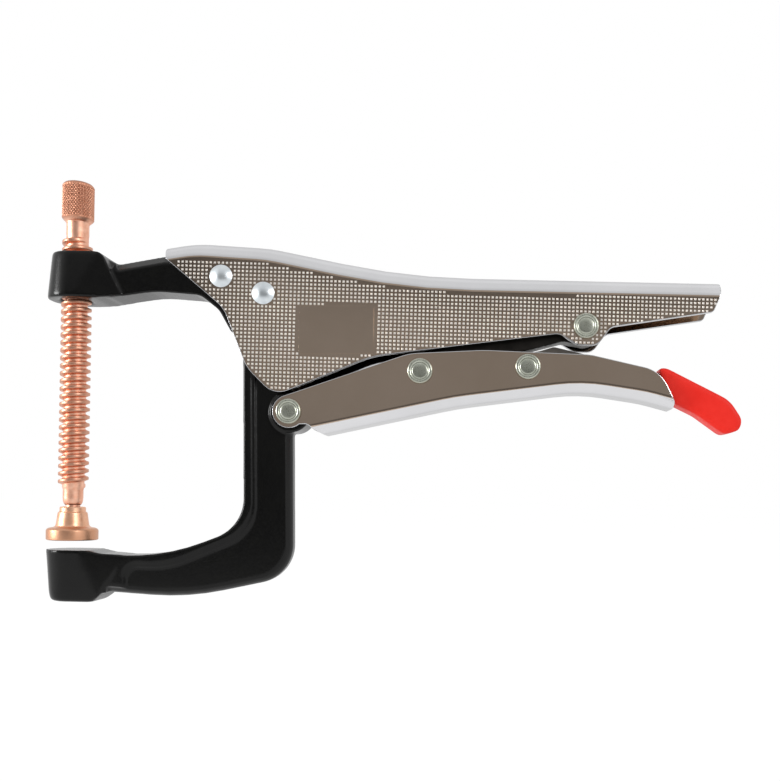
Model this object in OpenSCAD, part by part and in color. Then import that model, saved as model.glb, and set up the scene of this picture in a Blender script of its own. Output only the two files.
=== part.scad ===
// Locking C clamp for welding: a threaded copper spindle with a swivel pad faces an anvil
// on a forged jaw, which a toggle linkage between two pressed steel handles opens and locks.
// Frame: origin at the centre of the anvil face on the spindle axis, +Z up the spindle,
// +X along the handles, Y across the clamp. Millimetres.

/* [Throat] */
// Distance from the spindle axis to the upright of the moving jaw
throat_depth = 69; // [60:0.2:110]
// Height of the fixed jaw's underside above the anvil
throat_height = 96.8; // [85:0.2:140]

/* [Spindle] */
// Outer diameter of the thread
thread_d = 11; // [9.5:0.5:13]
// Thread pitch, the travel for one turn
thread_pitch = 3; // [2:0.5:4]
// Radial depth of the thread
thread_depth = 1.5; // [0.8:0.1:1.8]
// Length of the threaded stretch
thread_len = 98; // [85:1:150]
// Diameter of the knurled head
head_d = 11.6; // [10:0.2:16]
// Length of the knurled head
head_len = 15.6; // [8:0.2:25]
// Diameter of the neck under the head
head_neck_d = 8.2; // [7:0.2:9.4]
// Length of the neck under the head
head_neck_len = 5.2; // [2:0.2:12]
// Diameter of the neck above the swivel pad
neck_d = 7.4; // [6.4:0.2:7.8]
// Length of the neck above the swivel pad
pad_neck_len = 7; // [4:0.5:14]

/* [Swivel pad] */
// Diameter of the pad's flange
pad_d = 18.8; // [15:0.2:26]
// Thickness of the pad's flange
pad_flange_t = 4.8; // [3:0.2:7]
// Height of the whole pad
pad_h = 13; // [12.6:0.2:18]
// Gap between the pad and the anvil as drawn
pad_gap = 3.6; // [2.5:0.1:30]

/* [Jaws] */
// Width of the moving jaw's upright
upright_w = 18.2; // [15:0.2:24]
// Lean of the upright towards the spindle, in degrees
upright_lean = 1.2; // [0:0.1:2]
// Height of the lower arm
lower_arm_h = 16.5; // [12:0.5:22]
// Height of the spindle boss
boss_h = 18; // [14:0.2:26]
// Radius of the spindle boss at its underside
boss_r = 10.3; // [8.8:0.1:14]
// Height of the anvil boss
anvil_h = 20.1; // [17.5:0.1:28]
// Radius of the anvil boss at its face
anvil_r = 9.2; // [8:0.1:14]
// Width of the raised rim along the inner edge of the moving jaw
rim_w = 4.3; // [3:0.1:7]
// Depth of the recessed web beside the rim
web_recess = 1.4; // [0.6:0.1:2.5]
// Thickness of the jaw's tongue in the fork of the fixed jaw
tongue_t = 6; // [4:0.2:8]

/* [Handles] */
// Outer width of both pressed channels
channel_w = 18; // [16:0.2:24]
// Thickness of the pressed sheet
sheet_t = 2; // [1.5:0.1:2.4]
// Outer bend radius along the back of the upper handle
handle_bend_r = 6.5; // [4:0.1:7.5]
// Outer bend radius along the back of the lever
lever_bend_r = 4.4; // [3:0.1:6]
// Length of the upper handle behind the link's anchor rivet
handle_tail = 51.2; // [40:0.2:90]
// Length of the lever behind the release rivet
lever_tail = 56; // [48:0.5:75]
// Length of the red grip behind the lever
grip_len = 27; // [18:0.5:40]
// Thickness of the red grip
grip_t = 10; // [8:0.2:12.5]
// Thickness of the release lever
release_t = 5; // [3:0.2:7]

/* [Linkage] */
// Distance from the jaw's pivot to the lever's pivot
jaw_crank = 46.1; // [44:0.1:50]
// Distance from the lever's pivot to the link's pivot
lever_crank = 52.4; // [50:0.1:58]
// Length of the toggle link between its pivots
link_len = 65.5; // [62:0.1:72]
// Distance from the lever's pivot to the release pivot
release_reach = 92.8; // [90:0.1:98]
// Thickness of the toggle link
link_t = 8; // [5:0.2:10]
// Diameter of every rivet's shank
rivet_d = 6; // [5:0.1:6.6]
// Diameter of the domed rivet heads
dome_head_d = 8.6; // [8:0.1:10]
// Diameter of the ringed rivet heads
ring_head_d = 9.6; // [8.6:0.1:10.5]

/* [Opening spring] */
// Wire diameter
spring_wire_d = 1.2; // [0.8:0.1:1.6]
// Mean radius of a coil
spring_coil_r = 3; // [2.4:0.1:3.6]
// Number of coils
spring_coils = 14; // [8:1:16]

/* [Clearances] */
// Gap between a moving piece and the sheet beside it
side_gap = 0.3; // [0.2:0.05:0.5]
// Radial clearance of a running fit
fit_gap = 0.06; // [0.03:0.01:0.1]
// Radial clearance between the thread and its bore
thread_gap = 0.1; // [0.08:0.01:0.3]

/* [Hidden] */
$fn = 48;

// Degrees between the points of a drawn arc
arc_step = 5;
// Degrees between the facets of a sheet bend
bend_step = 18;
// Room that a cut takes beyond the face it opens
over = 1;

inner_w = channel_w - 2 * sheet_t;
jaw_t = inner_w - 2 * side_gap;
rivet_r = rivet_d / 2;
bore_r = rivet_r + fit_gap;
head_seat = channel_w / 2 + fit_gap;

function polar(r, a) = [r * cos(a), r * sin(a)];

// Pivots in the side view, each from the one before
pivot_p = [throat_depth + 6.4, throat_height + 2.7];
pivot_a = pivot_p + polar(jaw_crank, -76.8);
pivot_b = pivot_a + polar(lever_crank, 18.1);
pivot_c = pivot_b + polar(link_len, 16.2);
pivot_d = pivot_a + polar(release_reach, 11.6);
rivet_f = pivot_p + [-16.2, 6.2];
link_angle = 16.2;

// Directions and fillets of a control line whose points are [x, z, radius]
function xz(p) = [p.x, p.y];
function unit(v) = v / norm(v);
function turn(a, b, c) =
    let (u = xz(b) - xz(a), v = xz(c) - xz(b)) atan2(u.x * v.y - u.y * v.x, u * v);
function reach_of(a, b, c) =
    min(b[2] * abs(tan(turn(a, b, c) / 2)), 0.48 * min(norm(xz(b) - xz(a)), norm(xz(c) - xz(b))));
function radius_of(a, b, c) = reach_of(a, b, c) / abs(tan(turn(a, b, c) / 2));
function arc_start(a, b, c) = xz(b) + unit(xz(a) - xz(b)) * reach_of(a, b, c);
function right_of(v) = [v.y, -v.x];
function arc_centre(a, b, c) =
    arc_start(a, b, c) - right_of(unit(xz(b) - xz(a))) * radius_of(a, b, c) * sign(turn(a, b, c));
function is_bend(a, b, c) = b[2] > 0 && abs(turn(a, b, c)) > 0.01;

function bend_points(a, b, c) =
    !is_bend(a, b, c) ? [xz(b)] :
    let (
        m = arc_centre(a, b, c),
        s = arc_start(a, b, c) - m,
        sweep = turn(a, b, c),
        n = ceil(abs(sweep) / arc_step)
    )
    [for (i = [0:n]) m + polar(norm(s), atan2(s.y, s.x) + sweep * i / n)];
// Closed outline with every corner rounded
function rounded(p) =
    let (n = len(p)) [for (i = [0:n - 1]) each bend_points(p[(i + n - 1) % n], p[i], p[(i + 1) % n])];
// Open line with its inner corners rounded
function rounded_line(p) =
    let (n = len(p))
    [xz(p[0]), for (i = [1:n - 2]) each bend_points(p[i - 1], p[i], p[i + 1]), xz(p[n - 1])];
// The same control line, moved to its right by d
function moved_right(p, d) =
    let (n = len(p))
    [for (i = [0:n - 1])
        let (
            u = right_of(unit(xz(p[max(i, 1)]) - xz(p[max(i, 1) - 1]))),
            v = right_of(unit(xz(p[min(i + 1, n - 1)]) - xz(p[min(i + 1, n - 1) - 1]))),
            q = xz(p[i]) + (u + v) / (1 + u * v) * d,
            side = i == 0 || i == n - 1 ? 0 : sign(turn(p[i - 1], p[i], p[i + 1]))
        )
        [q.x, q.y, p[i][2] > 0 ? p[i][2] + side * d : 0]];
// The same control line, made longer at both ends
function lengthened(p, d) =
    let (n = len(p), s = xz(p[0]) - unit(xz(p[1]) - xz(p[0])) * d,
        e = xz(p[n - 1]) + unit(xz(p[n - 1]) - xz(p[n - 2])) * d)
    [[s.x, s.y, 0], for (i = [1:n - 2]) p[i], [e.x, e.y, 0]];

// A side view outline given its thickness across the clamp
module slab(points, t, y = 0) {
    translate([0, y + t / 2, 0]) rotate([90, 0, 0]) linear_extrude(t) polygon(points);
}

// A round bar across the clamp from y0 to y1
module bar(p, r, y0, y1) {
    translate([p.x, y1, p.y]) rotate([90, 0, 0]) cylinder(r = r, h = y1 - y0);
}

module through_bar(p, r, w) {
    bar(p, r, -w / 2, w / 2);
}

// What a bend of radius r takes off the long corner of a piece w wide, as [across, depth];
// the first and last steps run on past the faces that they meet
function bend_cut(w, r) =
    let (p = [for (a = [90:-bend_step:0]) [w / 2 - r + r * cos(a), r - r * sin(a)]], n = len(p) - 1)
    concat(
        [[w / 2 + over, -over], [2 * p[0].x - p[1].x, -over], 2 * p[0] - p[1]],
        [for (i = [1:n - 1]) p[i]],
        [2 * p[n] - p[n - 1], [w / 2 + over, 2 * p[n].y - p[n - 1].y]]
    );
// The same in one slanted step, for the inside of the bend
function slant_cut(w, c) = [[w / 2 + over, -over], [w / 2 - c - over, -over], [w / 2 + over, c + over]];

// Faces of a tube of n rings with k points each
function tube_faces(n, k) = concat(
    [for (j = [1:k - 2]) [0, j, j + 1]],
    [for (i = [0:n - 2]) for (j = [0:k - 1])
        let (a = i * k + j, b = i * k + (j + 1) % k)
        each [[a, a + k, b + k], [a, b + k, b]]],
    [for (j = [1:k - 2]) [(n - 1) * k, (n - 1) * k + j + 1, (n - 1) * k + j]]
);

// Both long corners of a piece cut along its back, the inside to the line's right
module corner_cuts(line, cut) {
    n = len(line);
    inward = [for (i = [0:n - 1])
        let (
            u = right_of(unit(line[max(i, 1)] - line[max(i, 1) - 1])),
            v = right_of(unit(line[min(i + 1, n - 1)] - line[min(i + 1, n - 1) - 1]))
        )
        (u + v) / (1 + u * v)];
    points = [for (i = [0:n - 1]) for (q = cut)
        [line[i].x + inward[i].x * q.y, q.x, line[i].y + inward[i].y * q.y]];
    for (side = [0, 1]) mirror([0, side, 0]) polyhedron(points, tube_faces(n, len(cut)));
}

// A channel bent from sheet: two side plates joined along the back
module channel(back, edge, r) {
    inner = rounded_line(lengthened(moved_right(back, sheet_t), over));
    first = inner[0];
    last = inner[len(inner) - 1];
    run = unit(last - first);
    inward = right_of(run);
    cavity = concat(inner, [
        last - inward * 15, last + run * 60 - inward * 15, last + run * 60 + inward * 90,
        first - run * 60 + inward * 90, first - run * 60 - inward * 15, first - inward * 15
    ]);
    difference() {
        slab(rounded(concat(back, edge)), channel_w);
        corner_cuts(rounded_line(lengthened(back, over)), bend_cut(channel_w, r));
        difference() {
            slab(cavity, inner_w);
            corner_cuts(inner, slant_cut(inner_w, (r - sheet_t) * (2 - sqrt(2))));
        }
    }
}

// Straight chamfer along an edge from p to q, on both sides of a piece w wide, the inside to the right
module edge_chamfers(p, q, w, c) {
    for (side = [-1, 1])
        translate([p.x, 0, p.y]) rotate([0, -atan2(q.y - p.y, q.x - p.x), 0]) rotate([90, 0, 90])
            linear_extrude(norm(q - p)) polygon([
                [side * (w / 2 + over), over],
                [side * (w / 2 + over), -c - over],
                [side * (w / 2 - c - over), over]
            ]);
}

// Upper handle

// Back of the handle from its nose to its tail
handle_back = [
    [pivot_p.x - 40.4, pivot_p.y + 17.4, 0],
    [pivot_p.x - 26.9, pivot_p.y + 19.8, 70],
    [pivot_p.x + 1.6, pivot_p.y + 18.4, 60],
    [pivot_b.x - 5.8, pivot_c.y + 18.7, 275],
    [pivot_c.x + handle_tail, pivot_c.y + 18.2, 0]
];
handle_edge = [
    [pivot_c.x + handle_tail, pivot_c.y + 12.8, 6],
    [pivot_c.x + handle_tail - 2.8, pivot_c.y + 6.2, 2],
    [pivot_c.x + 9.5, pivot_c.y - 0.2, 4],
    [pivot_c.x + 4.6, pivot_c.y - 7.3, 5],
    [pivot_c.x - 3, pivot_c.y - 7.3, 5],
    [pivot_c.x - 10.2, pivot_c.y - 3.1, 5],
    [pivot_b.x - 18.3, pivot_b.y + 5.3, 40],
    [pivot_a.x - 5.6, pivot_a.y + 5.8, 8.5],
    [pivot_p.x - 5.9, pivot_p.y - 28.5, 16],
    [pivot_p.x - 15.1, pivot_p.y - 5.9, 14],
    [pivot_p.x - 40.4, pivot_p.y + 14.9, 1]
];

module handle_channel() {
    color("#8a8178") difference() {
        channel(handle_back, handle_edge, handle_bend_r);
        for (p = [rivet_f, pivot_p, pivot_c]) through_bar(p, rivet_r, channel_w + 2 * over);
    }
}

// Fixed jaw

arm_top = pivot_p.y + 14.9;
fork_end = 9;
fork_gap = 0.2;
// Room round the tongue's end in the fork
fork_room = 0.9;
tongue_r = 8;
// The fork's cheeks stay inside this radius round the jaw's pivot
cheek_r = 19.8;
arm_chamfer = 3.4;
boss_top_r = boss_r - 1.5;
boss_top = throat_height + boss_h;
boss_foot = [boss_r + 10.4, throat_height + 1.4];
boss_head_x = boss_r + 2.6;
arm_start = [boss_head_x - 1.2, boss_top - 1];
arm_foot = [boss_r + 7.4, throat_height + 14];
arm_rise = [pivot_p.x - 39.2, arm_top];
arm_outline = rounded([
    [0, throat_height, 0],
    [0, arm_start.y, 0],
    [arm_start.x, arm_start.y, 0],
    [arm_foot.x, arm_foot.y, 5],
    [arm_rise.x, arm_rise.y, 30],
    [pivot_p.x + fork_end, arm_top, 4],
    [pivot_p.x + fork_end, pivot_p.y - 6, 6],
    [pivot_p.x + 5, pivot_p.y - 12, 6],
    [pivot_p.x - 12.3, pivot_p.y - 15.3, 2.5],
    [pivot_p.x - 17.6, pivot_p.y - 6.1, 8],
    [pivot_p.x - 24.9, throat_height + 2.2, 7],
    [pivot_p.x - 42.4, throat_height + 3.3, 40],
    [boss_r + 6, throat_height + 0.6, 0]
]);
fork_slot = [
    [pivot_p.x - tongue_r - fork_room, pivot_p.y],
    [pivot_p.x + fork_end + over, pivot_p.y],
    [pivot_p.x + fork_end + over, pivot_p.y - cheek_r - over],
    [pivot_p.x - tongue_r - fork_room, pivot_p.y - cheek_r - over]
];

// Block across the clamp whose sides lean in from half width w0 at z0 to w1 at z1
module drafted_block(x0, x1, z0, z1, w0, w1) {
    translate([x0, 0, 0]) rotate([90, 0, 90]) linear_extrude(x1 - x0)
        polygon([[-w0, z0], [w0, z0], [w1, z1], [-w1, z1]]);
}

// Cone round the spindle and a block behind it that narrows to the arm
module spindle_boss() {
    foot_w = jaw_t / 2 + 0.5;
    translate([0, 0, throat_height]) cylinder(r1 = boss_r, r2 = boss_top_r, h = boss_h);
    intersection() {
        drafted_block(0, boss_foot.x, throat_height, boss_top, boss_r, boss_top_r);
        slab(rounded([
            [0, throat_height, 0], [boss_r, throat_height, 0], [boss_foot.x, boss_foot.y, 0],
            [boss_head_x, boss_top, 5], [0, boss_top, 0]
        ]), 2 * boss_r + over);
        translate([0, 0, throat_height]) linear_extrude(boss_h) polygon([
            [0, -boss_r], [boss_r * 0.4, -boss_r], [boss_foot.x, -foot_w],
            [boss_foot.x, foot_w], [boss_r * 0.4, boss_r], [0, boss_r]
        ]);
    }
}

module fixed_jaw() {
    color("#1c1c1b") difference() {
        union() {
            difference() {
                slab(arm_outline, jaw_t);
                edge_chamfers(arm_rise, [pivot_p.x + fork_end + over, arm_top], jaw_t, arm_chamfer);
                edge_chamfers(arm_foot, arm_rise, jaw_t, arm_chamfer);
                edge_chamfers(arm_start, arm_foot, jaw_t, arm_chamfer);
            }
            spindle_boss();
        }
        translate([0, 0, throat_height - over])
            cylinder(d = thread_d + 2 * thread_gap, h = boss_h + 2 * over);
        slab(fork_slot, tongue_t + 2 * fork_gap);
        through_bar(pivot_p, tongue_r + fork_room, tongue_t + 2 * fork_gap);
        for (p = [rivet_f, pivot_p]) through_bar(p, rivet_r, jaw_t + 2 * over);
    }
}

// Moving jaw

shoulder_r = cheek_r + 0.6;
lug_r = 7.8;
anvil_foot_r = anvil_r - 1.2;
anvil_base_r = anvil_foot_r - 0.7;
anvil_end = anvil_r + 13;
anvil_chamfer = 3;
// Inner and outer edge of the upright at a height
function inner_x(z) = throat_depth - z * tan(upright_lean);
function outer_x(z) = inner_x(z) + upright_w;
arm_dip = 1.85;
throat_corner_z = 10.2;
heel_z = -8.8;
// Back of the jaw from its shoulder round the heel to the anvil
jaw_back = [
    [outer_x(pivot_p.y - 15), pivot_p.y - 15, 0],
    [outer_x(heel_z), heel_z, 15],
    [throat_depth - 22.5, -lower_arm_h - 1.5, 110],
    [anvil_r + 8, 0.2 - lower_arm_h, 0]
];
jaw_outline = rounded(concat([
    [0, 0.2 - lower_arm_h, 0],
    [0, -1.4, 0],
    [throat_depth - 30.4, -arm_dip, 80],
    [inner_x(throat_corner_z), throat_corner_z, 16],
    [inner_x(pivot_p.y - 9), pivot_p.y - 9, 0]
], jaw_back));
// Rounding of the back between the two webs, as [across, depth]
nose_cut = let (w = jaw_t / 2 - web_recess) [
    [jaw_t, -over], [w * 0.3 - 1.6, -over], [w * 0.7, 0.8], [w + 0.2, 2.4], [jaw_t, 4.6]
];
// Web beside the rim: everything outside a line that follows the inner edge
web_outline = concat(
    rounded_line([
        [anvil_end + 1.6, -lower_arm_h - 8, 0],
        [anvil_end + 1.6, -1.4 - rim_w, 4.5],
        [throat_depth - 29.4, -arm_dip - rim_w, 80],
        [inner_x(0) + rim_w, throat_corner_z - rim_w / 2, 16],
        [inner_x(pivot_p.y) + rim_w, pivot_p.y, 0]
    ]),
    [[outer_x(0) + 10, pivot_p.y], [outer_x(0) + 10, -lower_arm_h - 8]]
);
spring_tab = pivot_p + [16.4, -19.5];
spring_tab_t = 3;
spring_hole_r = 2;
tab_outline = rounded([
    [outer_x(spring_tab.y) - 4, spring_tab.y + 4.5, 0],
    [spring_tab.x + 3.6, spring_tab.y + 4.2, 3.5],
    [spring_tab.x + 3.6, spring_tab.y - 4.2, 3.5],
    [outer_x(spring_tab.y) - 4, spring_tab.y - 4.5, 0]
]);
tongue_outline = [
    [pivot_p.x - tongue_r, pivot_p.y],
    [pivot_p.x + tongue_r, pivot_p.y],
    [outer_x(pivot_p.y) - 3, pivot_p.y - 18],
    [inner_x(pivot_p.y - 18), pivot_p.y - 18]
];

module anvil_boss() {
    plan = [
        [0, anvil_r], [anvil_r * 0.6, anvil_r], [anvil_end, jaw_t / 2 - 0.2],
        [anvil_end, 0.2 - jaw_t / 2], [anvil_r * 0.6, -anvil_r], [0, -anvil_r]
    ];
    side = [
        [0, 0], [anvil_r, 0], [anvil_r + 5.3, -1.1], [anvil_end, -1.5], [anvil_end, -3.2],
        [anvil_r + 5, 3 - anvil_h], [anvil_r + 2, -anvil_h], [0, -anvil_h]
    ];
    translate([0, 0, -anvil_h])
        cylinder(r1 = anvil_base_r, r2 = anvil_foot_r, h = anvil_chamfer);
    translate([0, 0, anvil_chamfer - anvil_h])
        cylinder(r1 = anvil_foot_r, r2 = anvil_r, h = anvil_h - anvil_chamfer);
    intersection() {
        translate([0, 0, -anvil_h]) linear_extrude(anvil_h) polygon(plan);
        slab(side, 2 * anvil_r + over);
        union() {
            drafted_block(0, anvil_end, anvil_chamfer - anvil_h, 0, anvil_foot_r, anvil_r);
            drafted_block(0, anvil_end, -anvil_h, anvil_chamfer - anvil_h, anvil_base_r, anvil_foot_r);
        }
    }
}

module moving_jaw() {
    color("#1c1c1b") difference() {
        union() {
            difference() {
                union() {
                    difference() {
                        slab(jaw_outline, jaw_t);
                        corner_cuts(rounded_line(lengthened(jaw_back, over)), nose_cut);
                    }
                    through_bar(pivot_a, lug_r, jaw_t);
                }
                for (side = [-1, 1]) {
                    difference() {
                        slab(web_outline, web_recess + over, side * (jaw_t - web_recess + over) / 2);
                        through_bar(pivot_a, lug_r, 2 * jaw_t);
                    }
                    bar(pivot_p, shoulder_r, side > 0 ? tongue_t / 2 : -jaw_t,
                        side > 0 ? jaw_t : -tongue_t / 2);
                }
            }
            slab(tongue_outline, tongue_t);
            through_bar(pivot_p, tongue_r, tongue_t);
            slab(tab_outline, spring_tab_t);
            anvil_boss();
        }
        through_bar(pivot_p, bore_r, jaw_t);
        through_bar(pivot_a, rivet_r, jaw_t + 2 * over);
        through_bar(spring_tab, spring_hole_r, jaw_t);
    }
}

// Lever

lever_lobe_r = 6.3;
lever_nose_x = pivot_a.x + 12.8;
// Back of the lever from its tail to its nose
lever_back = [
    [pivot_d.x + lever_tail, pivot_d.y - 14.8, 0],
    [pivot_d.x + 45, pivot_d.y - 12, 60],
    [pivot_d.x + 20.5, pivot_d.y - 8.6, 68],
    [pivot_b.x + 14.2, pivot_b.y - 12.9, 120],
    [lever_nose_x, pivot_a.y - 8.3, 0]
];
lever_top_start = pivot_a + polar(lever_lobe_r, 110);
lever_edge = [
    [lever_nose_x - 3, pivot_a.y - 6.9, 2],
    [pivot_a.x + 7, pivot_a.y - 4.6, 3],
    [pivot_a.x, pivot_a.y - 3, 0],
    [lever_top_start.x, lever_top_start.y, 0],
    [pivot_b.x - 4.3, pivot_b.y + 6.7, 25],
    [pivot_d.x - 17, pivot_d.y + 6.1, 60],
    [pivot_d.x + 23.7, pivot_d.y + 5.1, 25],
    [pivot_d.x + lever_tail - 5.6, pivot_d.y - 0.6, 1],
    [pivot_d.x + lever_tail + 0.3, pivot_d.y - 12.4, 3]
];

module lever_channel() {
    color("#8d8680") difference() {
        union() {
            channel(lever_back, lever_edge, lever_bend_r);
            for (side = [-1, 1])
                bar(pivot_a, lever_lobe_r, side > 0 ? inner_w / 2 : -channel_w / 2,
                    side > 0 ? channel_w / 2 : -inner_w / 2);
        }
        through_bar(pivot_a, bore_r, channel_w + 2 * over);
        for (p = [pivot_b, pivot_d]) through_bar(p, rivet_r, channel_w + 2 * over);
    }
}

// Release lever and its dipped grip, in the side view

grip_root = [pivot_d.x + lever_tail - 5, pivot_d.y + 1.7];
grip_tip = [pivot_d.x + lever_tail + grip_len, pivot_d.y - 19];
release_outline = rounded([
    [pivot_d.x - 5.6, pivot_d.y - 5.4, 5],
    [pivot_d.x - 5.6, pivot_d.y + 5, 4],
    [pivot_d.x + 5, pivot_d.y + 7.2, 6],
    [pivot_d.x + 10.2, pivot_d.y + 8.85, 3.5],
    [grip_root.x - 8, pivot_d.y + 1.6, 30],
    [grip_root.x + 6, pivot_d.y - 2.5, 8],
    [grip_tip.x - 4, grip_tip.y + 1, 2],
    [grip_tip.x - 8, grip_tip.y - 2, 2],
    [grip_root.x + 12, pivot_d.y - 12.5, 10],
    [grip_root.x - 2, pivot_d.y - 8.4, 6],
    [pivot_d.x + 19, pivot_d.y - 4.6, 20]
]);
grip_outline = rounded([
    [grip_root.x - 0.6, grip_root.y - 0.3, 1],
    [grip_root.x + 2.6, grip_root.y - 0.3, 5],
    [grip_tip.x - 4.6, grip_tip.y + 8.3, 12],
    [grip_tip.x + 0.6, grip_tip.y + 0.6, 4],
    [grip_tip.x - 0.8, grip_tip.y - 3.4, 2],
    [grip_tip.x - 6.6, grip_tip.y - 5.2, 2],
    [grip_root.x + 14.5, pivot_d.y - 16.6, 10],
    [grip_root.x + 6, pivot_d.y - 12.6, 1],
    [grip_root.x + 2, pivot_d.y - 10.6, 1]
]);

module release_lever() {
    color("#77716b") difference() {
        slab(release_outline, release_t);
        through_bar(pivot_d, bore_r, release_t + 2 * over);
    }
}

module release_grip() {
    color("#d8392f") difference() {
        slab(grip_outline, grip_t);
        slab(release_outline, release_t);
    }
}

// Toggle link, drawn from its lever pivot along its length

link_eye_r = 6.4;
// Play at the open end: how far the hole runs towards the lever and past the rivet
slot_in = 3;
slot_out = 0.3;
slot_r = rivet_r + 0.4;
link_rise = 2.2;

function on_link(s, w) = pivot_b + polar(s, link_angle) + polar(w, link_angle + 90);
function corner_on_link(s, w, r) = let (q = on_link(s, w)) [q.x, q.y, r];
link_bar = rounded([
    corner_on_link(2, -5.8, 0), corner_on_link(14, link_rise - 4.2, 10),
    corner_on_link(link_len - 9.5, link_rise - 4.7, 6), corner_on_link(link_len - 3, -5.6, 0),
    corner_on_link(link_len - 2, 6, 0), corner_on_link(link_len - 14, link_rise + 4.4, 20),
    corner_on_link(14, link_rise + 4.4, 20), corner_on_link(0, 6.2, 0)
]);

module toggle_link() {
    color("#5f5c58") difference() {
        union() {
            slab(link_bar, link_t);
            for (p = [pivot_b, pivot_c]) through_bar(p, link_eye_r, link_t);
        }
        through_bar(pivot_b, bore_r, link_t + 2 * over);
        for (s = [link_len - slot_in, link_len + slot_out])
            through_bar(on_link(s, 0), slot_r, link_t + 2 * over);
        slab([
            on_link(link_len - slot_in, -slot_r), on_link(link_len + slot_out, -slot_r),
            on_link(link_len + slot_out, slot_r), on_link(link_len - slot_in, slot_r)
        ], link_t + 2 * over);
    }
}

// Rivets and spacers

dome_h = 1.7;
ring_head_h = 1.3;

// One rivet across the clamp; its heads sit on both side plates
module rivet(p) {
    through_bar(p, rivet_r, 2 * head_seat + 0.2);
    for (side = [-1, 1])
        translate([p.x, side * head_seat, p.y]) rotate([-90 * side, 0, 0]) children();
}

module dome_head() {
    r = dome_head_d / 2;
    ball_r = (r * r + dome_h * dome_h) / (2 * dome_h);
    intersection() {
        translate([0, 0, dome_h - ball_r]) sphere(r = ball_r);
        cylinder(r = r + over, h = dome_h + over);
    }
}

module ring_head() {
    r = ring_head_d / 2;
    rotate_extrude() polygon([
        [0, 0], [r, 0], [r, ring_head_h - 0.4], [r - 0.4, ring_head_h], [r * 0.72, ring_head_h],
        [r * 0.66, ring_head_h - 0.3], [r * 0.6, ring_head_h - 0.1], [0, ring_head_h - 0.1]
    ]);
}

module spacers(p, r, y0) {
    gap = 0.05;
    color("#9a968f") for (side = [-1, 1]) difference() {
        bar(p, r, side > 0 ? y0 + gap : gap - inner_w / 2, side > 0 ? inner_w / 2 - gap : -y0 - gap);
        through_bar(p, rivet_r, inner_w);
    }
}

spacer_r = 5;

module fixed_jaw_rivet() { color("#b4b3a6") rivet(rivet_f) dome_head(); }
module jaw_pivot_rivet() { color("#b4b3a6") rivet(pivot_p) dome_head(); }
module link_anchor_rivet() { color("#a9a79c") rivet(pivot_c) ring_head(); }
module lever_pivot_rivet() { color("#a9a79c") rivet(pivot_a) ring_head(); }
module link_pivot_rivet() { color("#a9a79c") rivet(pivot_b) ring_head(); }
module release_pivot_rivet() { color("#a9a79c") rivet(pivot_d) ring_head(); }
module anchor_spacers() { spacers(pivot_c, spacer_r, link_t / 2); }
module link_spacers() { spacers(pivot_b, spacer_r, link_t / 2); }
module release_spacers() { spacers(pivot_d, spacer_r, release_t / 2); }

// Opening spring, hooked into the jaw's tab and into a lug under the handle's back

spring_lug = [pivot_b.x - 7, pivot_p.y - 3.5];
lug_t = 3;
spring_axis = unit(spring_lug - spring_tab);
spring_len = norm(spring_lug - spring_tab);
hook_r = spring_coil_r;
coil_start = hook_r + 3;
coil_pitch = (spring_len - 2 * coil_start) / spring_coils;
rings_per_coil = 8;
wire_sides = 6;

// A place on the spring: s along its axis, u across the clamp, v square to both
function spring_at(s, u, v) =
    let (q = spring_tab + spring_axis * s - right_of(spring_axis) * v) [q.x, u, q.y];
hook_steps = [0:30:180];
spring_path = concat(
    [for (a = hook_steps) spring_at(hook_r - hook_r * sin(a), -hook_r * cos(a), 0)],
    [for (i = [0:spring_coils * rings_per_coil])
        let (a = 360 * i / rings_per_coil)
        spring_at(coil_start + coil_pitch * i / rings_per_coil, hook_r * cos(a), hook_r * sin(a))],
    [for (a = hook_steps) spring_at(spring_len - hook_r + hook_r * sin(a), hook_r * cos(a), 0)]
);
// Least gap between turns of the wire, measured on points at least half a coil apart
spring_gap = min([for (i = [0:len(spring_path) - 1])
    for (j = [i + rings_per_coil / 2:1:len(spring_path) - 1])
        norm(spring_path[j] - spring_path[i])]) - spring_wire_d;
echo(least_gap_of_spring = spring_gap);

function path_tangent(p, i) = unit(p[min(i + 1, len(p) - 1)] - p[max(i - 1, 0)]);
// A reference direction carried along the path, kept square to it
function carried(p, i, d) =
    let (t = path_tangent(p, i), q = unit(d - t * (d * t)))
    i == len(p) - 1 ? [q] : concat([q], carried(p, i + 1, q));

module wire(path, r) {
    n = len(path);
    across = carried(path, 0, [0.3, 0.1, 1]);
    points = [for (i = [0:n - 1])
        let (t = path_tangent(path, i), b = cross(t, across[i]))
        for (k = [0:wire_sides - 1])
            path[i] + across[i] * r * cos(360 * k / wire_sides) + b * r * sin(360 * k / wire_sides)];
    polyhedron(points, tube_faces(n, wire_sides));
}

module jaw_spring() {
    color("#8f9194") wire(spring_path, spring_wire_d / 2);
}

module spring_anchor() {
    seat = handle_back[3].y - sheet_t;
    color("#77716b") difference() {
        slab(rounded([
            [spring_lug.x - 4, spring_lug.y - 4, 3.5],
            [spring_lug.x - 4, seat + 1.5, 0],
            [spring_lug.x + 9, seat + 0.35, 0],
            [spring_lug.x + 4, spring_lug.y - 4, 3.5]
        ]), lug_t);
        through_bar(spring_lug, spring_hole_r, lug_t + 2 * over);
    }
}

// Spindle, snap ring and swivel pad

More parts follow.
